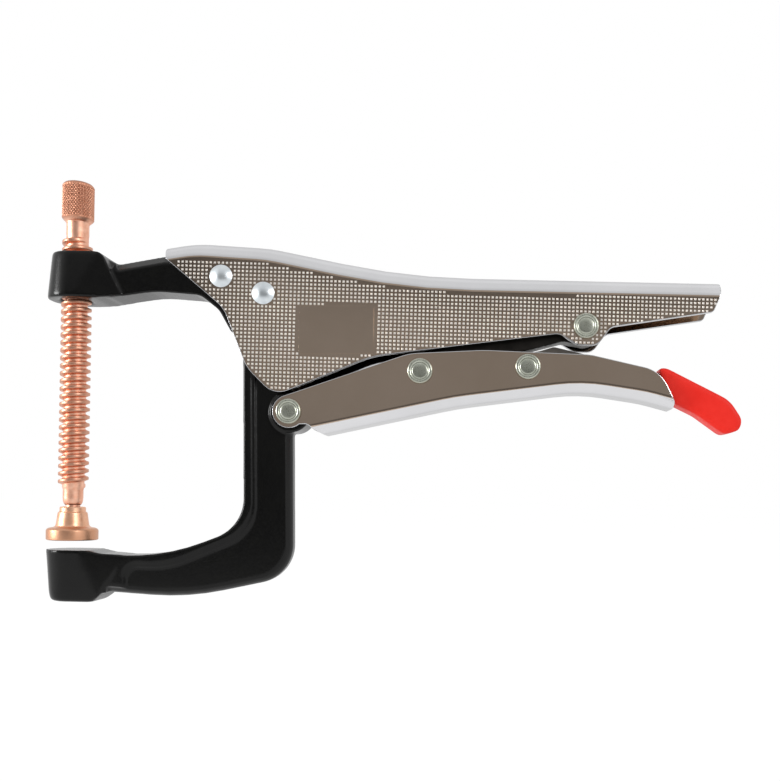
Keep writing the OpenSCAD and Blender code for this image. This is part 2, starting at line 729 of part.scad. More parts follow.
pad_top = pad_gap + pad_h;
ball_z = pad_gap + 7;
ball_r = neck_d / 2 - 0.3;
ring_wire_r = 0.7;
ring_mid_r = ball_r - 0.2;
ring_z = ball_z + 2.8;
groove_neck_r = ring_mid_r - ring_wire_r - 0.1;
lip_neck_r = ball_r - 0.75;
lip_r = ball_r + 0.15;
socket_gap = 0.1;
groove_r = ring_mid_r + ring_wire_r + 0.35;
collar_r = groove_r + 0.45;
cone_top_r = collar_r + 0.7;
cone_foot_r = collar_r + 1.25;
thread_foot = pad_top + 0.7 + pad_neck_len;
thread_top = thread_foot + thread_len;
head_foot = thread_top + head_neck_len;
head_top = head_foot + head_len;
root_r = thread_d / 2 - thread_depth;
crest_r = thread_d / 2;
thread_turns = floor((thread_len - 2) / thread_pitch);

// Half profile of the spindle as [radius, z], from the ball's pole to the head's crown
spindle_profile = concat(
    [for (a = [-90:10:40]) [ball_r * cos(a), ball_z + ball_r * sin(a)]],
    [
        [groove_neck_r, ball_z + ball_r * sin(40) + 0.1],
        [groove_neck_r, ring_z + ring_wire_r + 0.1],
        [lip_neck_r, ring_z + ring_wire_r + 0.2],
        [lip_neck_r, pad_top + 0.7],
        [neck_d / 2 - 0.4, pad_top + 0.7],
        [neck_d / 2, pad_top + 2.7],
        [neck_d / 2, thread_foot - 0.6],
        [root_r, thread_foot]
    ],
    [for (i = [0:thread_turns - 1])
        let (z = thread_foot + 1 + i * thread_pitch)
        each [
            [root_r, z], [crest_r, z + thread_pitch * 0.2],
            [crest_r, z + thread_pitch * 0.55], [root_r, z + thread_pitch * 0.75]
        ]],
    [
        [root_r, thread_top],
        [head_neck_d / 2, thread_top + 0.4],
        [head_neck_d / 2, head_foot - 0.4],
        [head_d / 2 - 1.4, head_foot],
        [head_d / 2, head_foot + 1.8],
        [head_d / 2, head_top - 1.6],
        [head_d / 2 - 1.2, head_top - 0.5],
        [head_d / 2 - 2.8, head_top],
        [0, head_top]
    ]
);

module spindle() {
    color("#c9805c") rotate_extrude() polygon(spindle_profile);
}

module pad_snap_ring() {
    color("#8f9194") translate([0, 0, ring_z])
        rotate_extrude() translate([ring_mid_r, 0]) circle(r = ring_wire_r);
}

module swivel_pad() {
    socket_r = ball_r + socket_gap;
    color("#c9805c") rotate_extrude() polygon(concat(
        [[0, pad_gap], [pad_d / 2 - 0.5, pad_gap], [pad_d / 2, pad_gap + 0.5]],
        [
            [pad_d / 2, pad_gap + pad_flange_t - 0.9],
            [pad_d / 2 - 0.9, pad_gap + pad_flange_t],
            [cone_foot_r + 0.5, pad_gap + pad_flange_t + 0.3],
            [cone_foot_r, pad_gap + pad_flange_t + 1],
            [cone_top_r, pad_top - 2.3],
            [collar_r, pad_top - 1.9],
            [collar_r, pad_top - 0.3],
            [collar_r - 0.3, pad_top],
            [lip_r, pad_top],
            [lip_r, ring_z + ring_wire_r + 0.45],
            [groove_r, ring_z + ring_wire_r + 0.45],
            [groove_r, ring_z - ring_wire_r - 0.45],
            [socket_r, ring_z - ring_wire_r - 0.45]
        ],
        [for (a = [0:-10:-90]) [socket_r * cos(a), ball_z + socket_r * sin(a)]]
    ));
}

handle_channel();
fixed_jaw();
fixed_jaw_rivet();
jaw_pivot_rivet();
link_anchor_rivet();
anchor_spacers();
spring_anchor();
jaw_spring();
moving_jaw();
lever_pivot_rivet();
lever_channel();
link_pivot_rivet();
link_spacers();
release_pivot_rivet();
release_spacers();
release_lever();
release_grip();
toggle_link();
pad_snap_ring();
spindle();
swivel_pad();
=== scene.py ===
"""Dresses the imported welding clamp: pressed handles, forged jaws, copper spindle and the studio.

Sizes are in millimetres in the clamp's own frame: the origin is the centre of the anvil face, +Z runs
up the spindle, +X along the handles, and the photographed side faces -Y.
"""

from __future__ import annotations

import logging
import math
from dataclasses import dataclass, field
from enum import Enum
from typing import Any, Sequence

import bpy
from mathutils import Matrix, Vector

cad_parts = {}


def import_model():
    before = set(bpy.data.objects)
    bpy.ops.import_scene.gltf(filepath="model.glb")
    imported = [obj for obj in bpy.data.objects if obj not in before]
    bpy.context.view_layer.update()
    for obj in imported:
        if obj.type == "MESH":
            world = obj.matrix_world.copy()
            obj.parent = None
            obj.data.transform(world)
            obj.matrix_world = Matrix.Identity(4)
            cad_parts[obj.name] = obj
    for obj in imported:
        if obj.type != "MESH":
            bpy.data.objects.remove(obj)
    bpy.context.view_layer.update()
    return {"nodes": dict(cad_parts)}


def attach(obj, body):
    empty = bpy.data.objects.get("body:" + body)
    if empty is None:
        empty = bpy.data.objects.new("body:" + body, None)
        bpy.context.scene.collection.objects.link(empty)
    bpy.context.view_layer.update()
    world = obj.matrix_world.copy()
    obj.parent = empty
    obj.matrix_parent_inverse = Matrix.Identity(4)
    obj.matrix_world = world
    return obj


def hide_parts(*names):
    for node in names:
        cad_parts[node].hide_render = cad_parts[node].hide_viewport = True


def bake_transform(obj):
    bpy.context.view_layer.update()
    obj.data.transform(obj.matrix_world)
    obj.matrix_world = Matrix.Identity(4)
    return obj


log = logging.getLogger("welding_clamp")

MM = 0.001
Point = tuple[float, float]
Corner = tuple[float, float, float]
Colour = tuple[float, float, float, float]


class Body(Enum):
    """The rigid bodies that pieces of the clamp ride on."""

    HANDLE = "handle"
    JAW = "jaw"
    LEVER = "lever"
    LINK = "link"
    RELEASE = "release"
    SPINDLE = "spindle"
    PAD = "pad"


class Head(Enum):
    """How a rivet's head is formed."""

    DOMED = "domed"
    RINGED = "ringed"


# Colour and material nodes


def hex_colour(code: str) -> Colour:
    """Turns an sRGB hex value into a linear colour.

    Args:
        code: Six hex digits after a hash sign.

    Returns:
        Linear red, green, blue and an alpha of one.
    """
    parts = [int(code[i : i + 2], 16) / 255 for i in (1, 3, 5)]
    linear = [c / 12.92 if c <= 0.04045 else ((c + 0.055) / 1.055) ** 2.4 for c in parts]
    return (linear[0], linear[1], linear[2], 1.0)


def grey(level: float) -> Colour:
    """Returns a linear grey."""
    return (level, level, level, 1.0)


def add_node(
    tree: bpy.types.NodeTree,
    kind: str,
    links: dict[Any, Any] | None = None,
    stops: Sequence[tuple[float, Colour]] = (),
    **settings: Any,
) -> Any:
    """Adds one node with its settings, values and links.

    Args:
        tree: The node tree to add to.
        kind: The node's type name.
        links: Input name or index to a value, or to the socket that feeds it.
        stops: Place and colour of each stop, where the node is a colour ramp.
        settings: Attributes of the node itself.

    Returns:
        The new node.
    """
    made = tree.nodes.new(kind)
    for key, value in settings.items():
        setattr(made, key, value)
    for key, value in (links or {}).items():
        if isinstance(value, bpy.types.NodeSocket):
            tree.links.new(value, made.inputs[key])
        else:
            made.inputs[key].default_value = value
    if stops:
        ramp = made.color_ramp.elements
        while len(ramp) < len(stops):
            ramp.new(0.5)
        for element, (place, colour) in zip(ramp, stops):
            element.position = place
            element.color = colour
    return made


# Grain noise lies mostly between these two levels
GRAIN_SPAN = (0.3, 0.7)


@dataclass(frozen=True)
class Finish:
    """One surface finish, drawn by nodes on Object coordinates.

    Attributes:
        name: The finish in a maker's words.
        dark: Colour of its darker places, sRGB hex.
        light: Colour of its lighter places, sRGB hex.
        metallic: One for bare or plated metal, nought for paint and plastic.
        rough: Least and most roughness.
        mottle_mm: Size of its colour patches.
        grain_mm: Size of the grain in its surface.
        grain_depth_mm: Depth of that grain.
        stretch: How far the grain is drawn out along X, Y and Z.
        specular: Strength of the mirror part of paint and plastic.
        edge: How much of the light metal keeps where it is seen edge-on.
        span: Noise levels at which its dark and its light colour are full.
    """

    name: str
    dark: str
    light: str
    metallic: float
    rough: tuple[float, float]
    mottle_mm: float
    grain_mm: float
    grain_depth_mm: float
    stretch: Corner = (1.0, 1.0, 1.0)
    specular: float = 0.5
    edge: float = 1.0
    span: Point = (0.35, 0.65)

    def material(self) -> bpy.types.Material:
        """Makes the finish's material, if no piece has asked for it yet.

        Returns:
            The material, the same one at every call.
        """
        found = bpy.data.materials.get(self.name)
        if found is not None:
            return found
        made = bpy.data.materials.new(self.name)
        made.use_nodes = True
        tree = made.node_tree
        tree.nodes.clear()
        where = add_node(tree, "ShaderNodeTexCoord").outputs["Object"]
        shrink = tuple(1 / s for s in self.stretch)
        drawn = add_node(tree, "ShaderNodeMapping", {"Vector": where, "Scale": shrink}).outputs["Vector"]
        mottle = add_node(
            tree,
            "ShaderNodeTexNoise",
            {"Vector": where, "Scale": 1 / (self.mottle_mm * MM), "Detail": 4.0, "Roughness": 0.6},
        ).outputs["Fac"]
        grain = add_node(
            tree,
            "ShaderNodeTexNoise",
            {"Vector": drawn, "Scale": 1 / (self.grain_mm * MM), "Detail": 3.0, "Roughness": 0.55},
        ).outputs["Fac"]
        (low, high), (least, most) = GRAIN_SPAN, self.rough
        rough = add_node(
            tree,
            "ShaderNodeMapRange",
            {"Value": grain, "From Min": low, "From Max": high, "To Min": least, "To Max": most},
        ).outputs["Result"]
        bump = add_node(
            tree,
            "ShaderNodeBump",
            {"Height": grain, "Strength": 1.0, "Distance": self.grain_depth_mm * MM},
        ).outputs["Normal"]
        shader = add_node(
            tree,
            "ShaderNodeBsdfPrincipled",
            {
                "Base Color": self.colour(tree, where, mottle),
                "Metallic": self.metallic,
                "Roughness": rough,
                "Normal": bump,
                "Specular IOR Level": self.specular,
                "Specular Tint": grey(self.edge),
            },
        )
        add_node(tree, "ShaderNodeOutputMaterial", {"Surface": shader.outputs["BSDF"]})
        return made

    def colour(self, tree: bpy.types.NodeTree, where: Any, mottle: Any) -> Any:
        """Draws the colour, dark to light over the mottle.

        Args:
            tree: The material's nodes.
            where: Socket of the Object coordinates.
            mottle: Socket of the colour patches.

        Returns:
            The colour socket.
        """
        stops = [(self.span[0], hex_colour(self.dark)), (self.span[1], hex_colour(self.light))]
        return add_node(tree, "ShaderNodeValToRGB", {"Fac": mottle}, stops).outputs["Color"]


@dataclass(frozen=True)
class WornAndShadedCopper(Finish):
    """Copper plating that has browned where hands and nuts rub it, with the same brown as painted shade in
    the knurl's grooves.

    Attributes:
        brown: Colour of the worn crests, and of the painted shade in the knurl's grooves, sRGB hex.
        inner_mm: Radius where the browning starts.
        outer_mm: Radius where it is full.
        most: Share of brown where it is full.
    """

    brown: str = "#8a5a45"
    inner_mm: float = 4.6
    outer_mm: float = 5.5
    most: float = 0.8
    span: Point = (0.3, 0.7)

    def colour(self, tree: bpy.types.NodeTree, where: Any, mottle: Any) -> Any:
        """Draws the colour, pink copper browned by radius: wear on the spindle's crests and the pad's rim,
        painted shade in the knurl's grooves.

        Args:
            tree: The material's nodes.
            where: Socket of the Object coordinates.
            mottle: Socket of the colour patches.

        Returns:
            The colour socket.
        """
        fresh = super().colour(tree, where, mottle)
        flat = add_node(tree, "ShaderNodeVectorMath", {0: where, 1: (1.0, 1.0, 0.0)}, operation="MULTIPLY")
        radius = add_node(tree, "ShaderNodeVectorMath", {0: flat.outputs[0]}, operation="LENGTH")
        inner, outer = self.inner_mm * MM, self.outer_mm * MM
        # Brown by radius: wear on crests and rim, painted shade in the knurl's grooves
        wear_and_shade = add_node(
            tree,
            "ShaderNodeMapRange",
            {"Value": radius.outputs["Value"], "From Min": inner, "From Max": outer, "To Max": self.most},
        ).outputs["Result"]
        patchy = add_node(tree, "ShaderNodeMath", {0: wear_and_shade, 1: mottle}, operation="MULTIPLY").outputs[0]
        brown = hex_colour(self.brown)
        return add_node(tree, "ShaderNodeMix", {0: patchy, 6: fresh, 7: brown}, data_type="RGBA").outputs[2]


# Nickel plate over pressed sheet: satin and slightly warm, so flat sides mirror the dim room around them.
# The real brushing, some 0.05 mm apart, is too fine to show and is drawn ten times as coarse
SIDE_NICKEL = Finish(
    "satin_nickel_plate", dark="#b4a291", light="#b9a797", metallic=1.0, rough=(0.09, 0.12),
    mottle_mm=30.0, grain_mm=0.5, grain_depth_mm=0.0002, stretch=(8.0, 8.0, 1.0),
)
# The bent backs take a paler, neutral copy of the nickel: painted reflection of the bright room, so they run
# as pale bands along the handles
BACK_NICKEL_REFLECTION = Finish(
    "nickel_back_painted_reflection", dark="#d4d4d6", light="#dadadc", metallic=1.0, rough=(0.12, 0.16),
    mottle_mm=25.0, grain_mm=0.6, grain_depth_mm=0.0004, stretch=(10.0, 1.0, 1.0), edge=0.72,
)
# The embossed dots take a paler, half-metallic copy of the nickel: painted highlight on their tops, so each
# reads as a pale, dull point
DOT_NICKEL_HIGHLIGHT = Finish(
    "nickel_dots_painted_highlight", dark="#dbd7d1", light="#e8e5e0", metallic=0.55, rough=(0.35, 0.45),
    mottle_mm=12.0, grain_mm=0.3, grain_depth_mm=0.001,
)
# Drop forged steel under semi-gloss black enamel: a soft orange-peel skin over the forging's scale
FORGED_BLACK = Finish(
    "black_enamel_forging", dark="#040404", light="#070706", metallic=0.0, rough=(0.18, 0.26),
    mottle_mm=6.0, grain_mm=0.8, grain_depth_mm=0.014, specular=0.24,
)
# Cold-headed rivets: bright zinc on the domes, a faint greenish passivation on the ringed ones
DOME_ZINC = Finish(
    "bright_zinc_dome", dark="#ccd3d8", light="#dde3e6", metallic=1.0, rough=(0.3, 0.38),
    mottle_mm=3.0, grain_mm=0.5, grain_depth_mm=0.006,
)
RING_ZINC = Finish(
    "passivated_zinc_ring", dark="#a9ac9f", light="#bbbeb2", metallic=1.0, rough=(0.24, 0.34),
    mottle_mm=3.0, grain_mm=0.35, grain_depth_mm=0.004,
)
# Blanked strip, lightly oiled and left bare: a dull grey with faint rolling lines
BARE_STEEL = Finish(
    "blanked_steel_strip", dark="#6a6560", light="#7d7872", metallic=1.0, rough=(0.36, 0.5),
    mottle_mm=8.0, grain_mm=0.3, grain_depth_mm=0.004, stretch=(6.0, 6.0, 1.0),
)
# The link's strip takes a near-black steel: painted shade, so it stays dark between the channels
LINK_SHADE_STEEL = Finish(
    "link_strip_painted_shade", dark="#2b2927", light="#373431", metallic=1.0, rough=(0.34, 0.46),
    mottle_mm=8.0, grain_mm=0.3, grain_depth_mm=0.004, stretch=(6.0, 6.0, 1.0),
)
# Drawn spring wire: smooth and grey, with a thin line of light along each coil
SPRING_WIRE = Finish(
    "drawn_spring_wire", dark="#8d8f92", light="#a6a8aa", metallic=1.0, rough=(0.25, 0.35),
    mottle_mm=4.0, grain_mm=0.2, grain_depth_mm=0.002,
)
# Hot dipped vinyl: a bright red skin with a soft shine, slightly uneven
RED_VINYL = Finish(
    "dipped_red_vinyl", dark="#d9281f", light="#e03027", metallic=0.0, rough=(0.34, 0.44),
    mottle_mm=9.0, grain_mm=2.2, grain_depth_mm=0.02, specular=0.1,
)
# Copper plating keeps weld spatter off the spindle; the nut rubs its crests brown
SPINDLE_COPPER = WornAndShadedCopper(
    "copper_plated_spindle", dark="#dc9d80", light="#f2c2a9", metallic=1.0, rough=(0.36, 0.46),
    mottle_mm=2.5, grain_mm=0.35, grain_depth_mm=0.006,
)
# The knurled head takes a darker copper with near-black brown in its grooves: painted shade in the knurl,
# dark between bright lands
KNURL_COPPER_SHADE = WornAndShadedCopper(
    "knurled_copper_painted_shade", dark="#c98c70", light="#dda287", metallic=1.0, rough=(0.38, 0.48),
    mottle_mm=2.5, grain_mm=0.35, grain_depth_mm=0.006, brown="#3c1f16", inner_mm=5.72, outer_mm=5.42,
)
# The pad's plating is pale at its collar and browns in patches towards the flange's rim
PAD_COPPER = WornAndShadedCopper(
    "copper_plated_pad", dark="#d7a07f", light="#ecbd9f", metallic=1.0, rough=(0.32, 0.44),
    mottle_mm=3.0, grain_mm=0.5, grain_depth_mm=0.006, brown="#9a6546", inner_mm=6.5, outer_mm=9.4,
)


# Side view outlines: control points are (x, z, corner radius)

# Most of a side that the rounding of one corner may take up
CORNER_SHARE = 0.48
# A point nearer than the first of these counts as on a line, one further than the second as off it
ON_LINE, OFF_LINE = 0.02, 0.25
# A face whose normal points less than this across the clamp stands edge-on in the side view
EDGE_ON = 0.02


def turn_of(a: Corner, b: Corner, c: Corner) -> float:
    """Returns the signed turn at b, in radians, left turns positive."""
    ux, uz, vx, vz = b[0] - a[0], b[1] - a[1], c[0] - b[0], c[1] - b[1]
    return math.atan2(ux * vz - uz * vx, ux * vx + uz * vz)


def bend_points(a: Corner, b: Corner, c: Corner, step: float) -> list[Point]:
    """Rounds one corner.

    Args:
        a: Control point before it.
        b: The corner, with its radius.
        c: Control point after it.
        step: Degrees between the points of the arc.

    Returns:
        The points that take the corner's place.
    """
    sweep = turn_of(a, b, c)
    if b[2] <= 0 or abs(sweep) < 1e-4:
        return [(b[0], b[1])]
    before, after = math.dist(a[:2], b[:2]), math.dist(b[:2], c[:2])
    reach = min(b[2] * abs(math.tan(sweep / 2)), CORNER_SHARE * min(before, after))
    radius = reach / abs(math.tan(sweep / 2))
    ux, uz = (b[0] - a[0]) / before, (b[1] - a[1]) / before
    side = math.copysign(1.0, sweep)
    sx, sz = b[0] - ux * reach, b[1] - uz * reach
    mx, mz = sx - uz * radius * side, sz + ux * radius * side
    first = math.atan2(sz - mz, sx - mx)
    count = max(1, math.ceil(abs(math.degrees(sweep)) / step))
    return [
        (mx + radius * math.cos(first + sweep * i / count), mz + radius * math.sin(first + sweep * i / count))
        for i in range(count + 1)
    ]


def rounded(corners: Sequence[Corner], step: float = 5.0) -> list[list[Point]]:
    """Rounds every corner of a closed outline.

    Args:
        corners: The outline's control points.
        step: Degrees between the points of an arc.

    Returns:
        One list of points for each control point.
    """
    n = len(corners)
    return [bend_points(corners[i - 1], corners[i], corners[(i + 1) % n], step) for i in range(n)]


def flat_list(groups: Sequence[Sequence[Point]]) -> list[Point]:
    """Joins groups of points into one list."""
    return [p for group in groups for p in group]


def holds(outline: Sequence[Point], p: Point) -> bool:
    """Tells whether a point lies inside a closed outline.

    Args:
        outline: The outline's points in order.
        p: The point.

    Returns:
        True where it lies inside.
    """
    inside = False
    for (ax, az), (bx, bz) in zip(outline, [*outline[1:], outline[0]]):
        if (az > p[1]) != (bz > p[1]) and p[0] < (bx - ax) * (p[1] - az) / (bz - az) + ax:
            inside = not inside
    return inside


def gap_to(line: Sequence[Point], p: Point) -> float:
    """Measures how far a point lies from a line of points.

    Args:
        line: The line's points in order.
        p: The point.

    Returns:
        The least distance between them.
    """
    best = 1e9
    for a, b in zip(line, line[1:]):
        ux, uz = b[0] - a[0], b[1] - a[1]
        t = ((p[0] - a[0]) * ux + (p[1] - a[1]) * uz) / max(ux * ux + uz * uz, 1e-12)
        t = min(1.0, max(0.0, t))
        best = min(best, math.hypot(p[0] - a[0] - t * ux, p[1] - a[1] - t * uz))
    return best


def polar(p: Point, r: float, degrees: float) -> Point:
    """Returns the point at a distance and angle from another."""
    return (p[0] + r * math.cos(math.radians(degrees)), p[1] + r * math.sin(math.radians(degrees)))


# Modelling moves


def deselect() -> None:
    """Leaves edit mode and deselects every object."""
    if bpy.context.object is not None and bpy.context.object.mode != "OBJECT":
        bpy.ops.object.mode_set(mode="OBJECT")
    bpy.ops.object.select_all(action="DESELECT")


def take(obj: bpy.types.Object) -> None:
    """Makes one object the only one selected.

    Args:
        obj: The object.
    """
    deselect()
    obj.select_set(True)
    bpy.context.view_layer.objects.active = obj


def edit_all(obj: bpy.types.Object, mode: str = "VERT") -> None:
    """Enters edit mode on one object with its whole mesh selected.

    Args:
        obj: The object.
        mode: VERT, EDGE or FACE.
    """
    take(obj)
    bpy.ops.object.mode_set(mode="EDIT")
    bpy.ops.mesh.select_mode(type=mode)
    bpy.ops.mesh.select_all(action="SELECT")


def done() -> None:
    """Leaves edit mode."""
    bpy.ops.object.mode_set(mode="OBJECT")


def edit_marked(obj: bpy.types.Object, mode: str, marks: Sequence[bool]) -> None:
    """Enters edit mode with only the marked elements selected.

    Args:
        obj: The piece.
        mode: VERT, EDGE or FACE.
        marks: One mark for each element of that kind.
    """
    edit_all(obj, mode)
    bpy.ops.mesh.select_all(action="DESELECT")
    done()
    mesh = obj.data
    elements = {"VERT": mesh.vertices, "EDGE": mesh.edges, "FACE": mesh.polygons}[mode]
    for element, mark in zip(elements, marks):
        element.select = mark
    bpy.ops.object.mode_set(mode="EDIT")


def modify(obj: bpy.types.Object, kind: str, **settings: Any) -> None:
    """Adds a modifier with its settings and applies it.

    Args:
        obj: The piece.
        kind: The modifier's type name.
        settings: Attributes of the modifier.
    """
    take(obj)
    made = obj.modifiers.new(kind.lower(), kind)
    for key, value in settings.items():
        setattr(made, key, value)
    bpy.ops.object.modifier_apply(modifier=made.name)


def break_edges(
    obj: bpy.types.Object, width: float, segments: int, degrees: float = 50.0, clamp: bool = False
) -> None:
    """Eases the sharp edges of a piece.

    Args:
        obj: The piece.
        width: Width of the eased edge.
        segments: Faces across it.
        degrees: Edges that turn more than this are eased.
        clamp: Whether the width shrinks where edges lie close together.
    """
    limit = {"limit_method": "ANGLE", "angle_limit": math.radians(degrees), "use_clamp_overlap": clamp}
    modify(obj, "BEVEL", width=width * MM, segments=segments, **limit)


def mend_normals(obj: bpy.types.Object, merge: float = 1e-7) -> None:
    """Merges doubles, drops loose bits and turns all faces outwards.

    Args:
        obj: The piece.
        merge: Points nearer than this become one, in metres.
    """
    edit_all(obj)
    bpy.ops.mesh.remove_doubles(threshold=merge)
    bpy.ops.mesh.dissolve_degenerate(threshold=merge)
    bpy.ops.mesh.delete_loose(use_verts=True, use_edges=True, use_faces=False)
    bpy.ops.mesh.select_all(action="SELECT")
    bpy.ops.mesh.normals_make_consistent(inside=False)
    done()


def smooth(obj: bpy.types.Object, degrees: float = 35.0) -> None:
    """Shades smooth across edges under an angle, with large faces kept flat."""
    take(obj)
    bpy.ops.object.shade_smooth_by_angle(angle=math.radians(degrees))
    modify(obj, "WEIGHTED_NORMAL", mode="FACE_AREA", weight=80, keep_sharp=True)


def loop_of(name: str, points: Sequence[Vector], fill: str) -> bpy.types.Object:
    """Adds a ring primitive and sets its vertices on given points.

    Args:
        name: Name of the new object.
        points: One place in metres for each vertex.
        fill: NGON for a face inside the ring, NOTHING for the bare ring.

    Returns:
        The new object.
    """
    deselect()
    bpy.ops.mesh.primitive_circle_add(vertices=len(points), radius=0.01, fill_type=fill)
    made = bpy.context.object
    made.name = made.data.name = name
    for vertex, place in zip(made.data.vertices, points):
        vertex.co = place
    made.data.update()
    return made


def plate(name: str, outline: Sequence[Point], y0: float, y1: float) -> bpy.types.Object:
    """Extrudes a side view outline across the clamp.

    Args:
        name: Name of the new object.
        outline: Side view points.
        y0: Near face.
        y1: Far face.

    Returns:
        A closed plate.
    """
    made = loop_of(name, [Vector((x, y0, z)) * MM for x, z in outline], "NGON")
    edit_all(made, "FACE")
    bpy.ops.mesh.extrude_region_move(TRANSFORM_OT_translate={"value": (0.0, (y1 - y0) * MM, 0.0)})
    done()
    mend_normals(made)
    return made


def turned(name: str, profile: Sequence[Point], steps: int) -> bpy.types.Object:
    """Spins a closed half profile round the Z axis.

    Args:
        name: Name of the new object.
        profile: Radius and height of each corner; the first and last lie on the axis.
        steps: Steps in a full turn.

    Returns:
        A closed turned piece.
    """
    made = loop_of(name, [Vector((r, 0.0, z)) * MM for r, z in profile], "NOTHING")
    edit_all(made)
    bpy.ops.mesh.spin(steps=steps, angle=2 * math.pi, center=(0, 0, 0), axis=(0, 0, 1), use_auto_merge=True)
    done()
    mend_normals(made, 1e-6)
    return made


def set_in_place(obj: bpy.types.Object, place: Matrix) -> None:
    """Moves a piece by its mesh, so that its object stays at the origin.

    Args:
        obj: The piece.
        place: The move, in metres.
    """
    take(obj)
    obj.matrix_world = place
    bpy.ops.object.transform_apply(location=True, rotation=True, scale=True)
    if place.determinant() < 0:
        mend_normals(obj)


def joined(name: str, parts: Sequence[bpy.types.Object]) -> bpy.types.Object:
    """Joins several meshes into one piece.

    Args:
        name: Name of the piece.
        parts: The meshes to join.

    Returns:
        The joined piece.
    """
    take(parts[0])
    for part in parts[1:]:
        part.select_set(True)
    bpy.ops.object.join()
    made = bpy.context.object
    made.name = made.data.name = name
    return made


def copy_of_node(node: bpy.types.Object, name: str) -> bpy.types.Object:
    """Copies a CAD node's mesh into a new piece with its triangles merged.

    Args:
        node: The CAD node.
        name: Name of the new piece.

    Returns:
        A free copy that carries no marks of the frame.
    """
    mesh = node.data.copy()
    mesh.materials.clear()
    made = bpy.data.objects.new(name, mesh)
    mesh.name = name
    bpy.context.scene.collection.objects.link(made)
    edit_all(made)
    bpy.ops.mesh.customdata_custom_splitnormals_clear()
    bpy.ops.mesh.remove_doubles(threshold=2e-6)
    bpy.ops.mesh.select_all(action="SELECT")
    bpy.ops.mesh.dissolve_limited(angle_limit=math.radians(0.5))
    done()
    return made


def dress(obj: bpy.types.Object, *finishes: Finish) -> None:
    """Gives a piece its materials in order.

    Args:
        obj: The piece.
        finishes: Its finishes, by material index.
    """
    obj.data.materials.clear()
    for finish in finishes:
        obj.data.materials.append(finish.material())


def place_on(obj: bpy.types.Object, body: Body, slot: str, *nodes: str) -> None:
    """Rides a finished piece on its body in place of its CAD nodes.

    Args:
        obj: The piece.
        body: The body it moves with.
        slot: The record's material slot; not used.
        nodes: The CAD nodes that it stands for.
    """
    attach(obj, body.value)
    if nodes:
        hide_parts(*nodes)
    log.info("%s: %d faces on %s", obj.name, len(obj.data.polygons), body.value)


# The clamp's pivots in the side view

PIVOT_P: Point = (75.4, 99.5)
PIVOT_A: Point = polar(PIVOT_P, 46.1, -76.8)
PIVOT_B: Point = polar(PIVOT_A, 52.4, 18.1)
PIVOT_C: Point = polar(PIVOT_B, 65.5, 16.2)
PIVOT_D: Point = polar(PIVOT_A, 92.8, 11.6)
RIVET_F: Point = (PIVOT_P[0] - 16.2, PIVOT_P[1] + 6.2)


def near(p: Point, dx: float, dz: float, r: float = 0.0) -> Corner:
    """Returns a control point given from a pivot."""
    return (p[0] + dx, p[1] + dz, r)


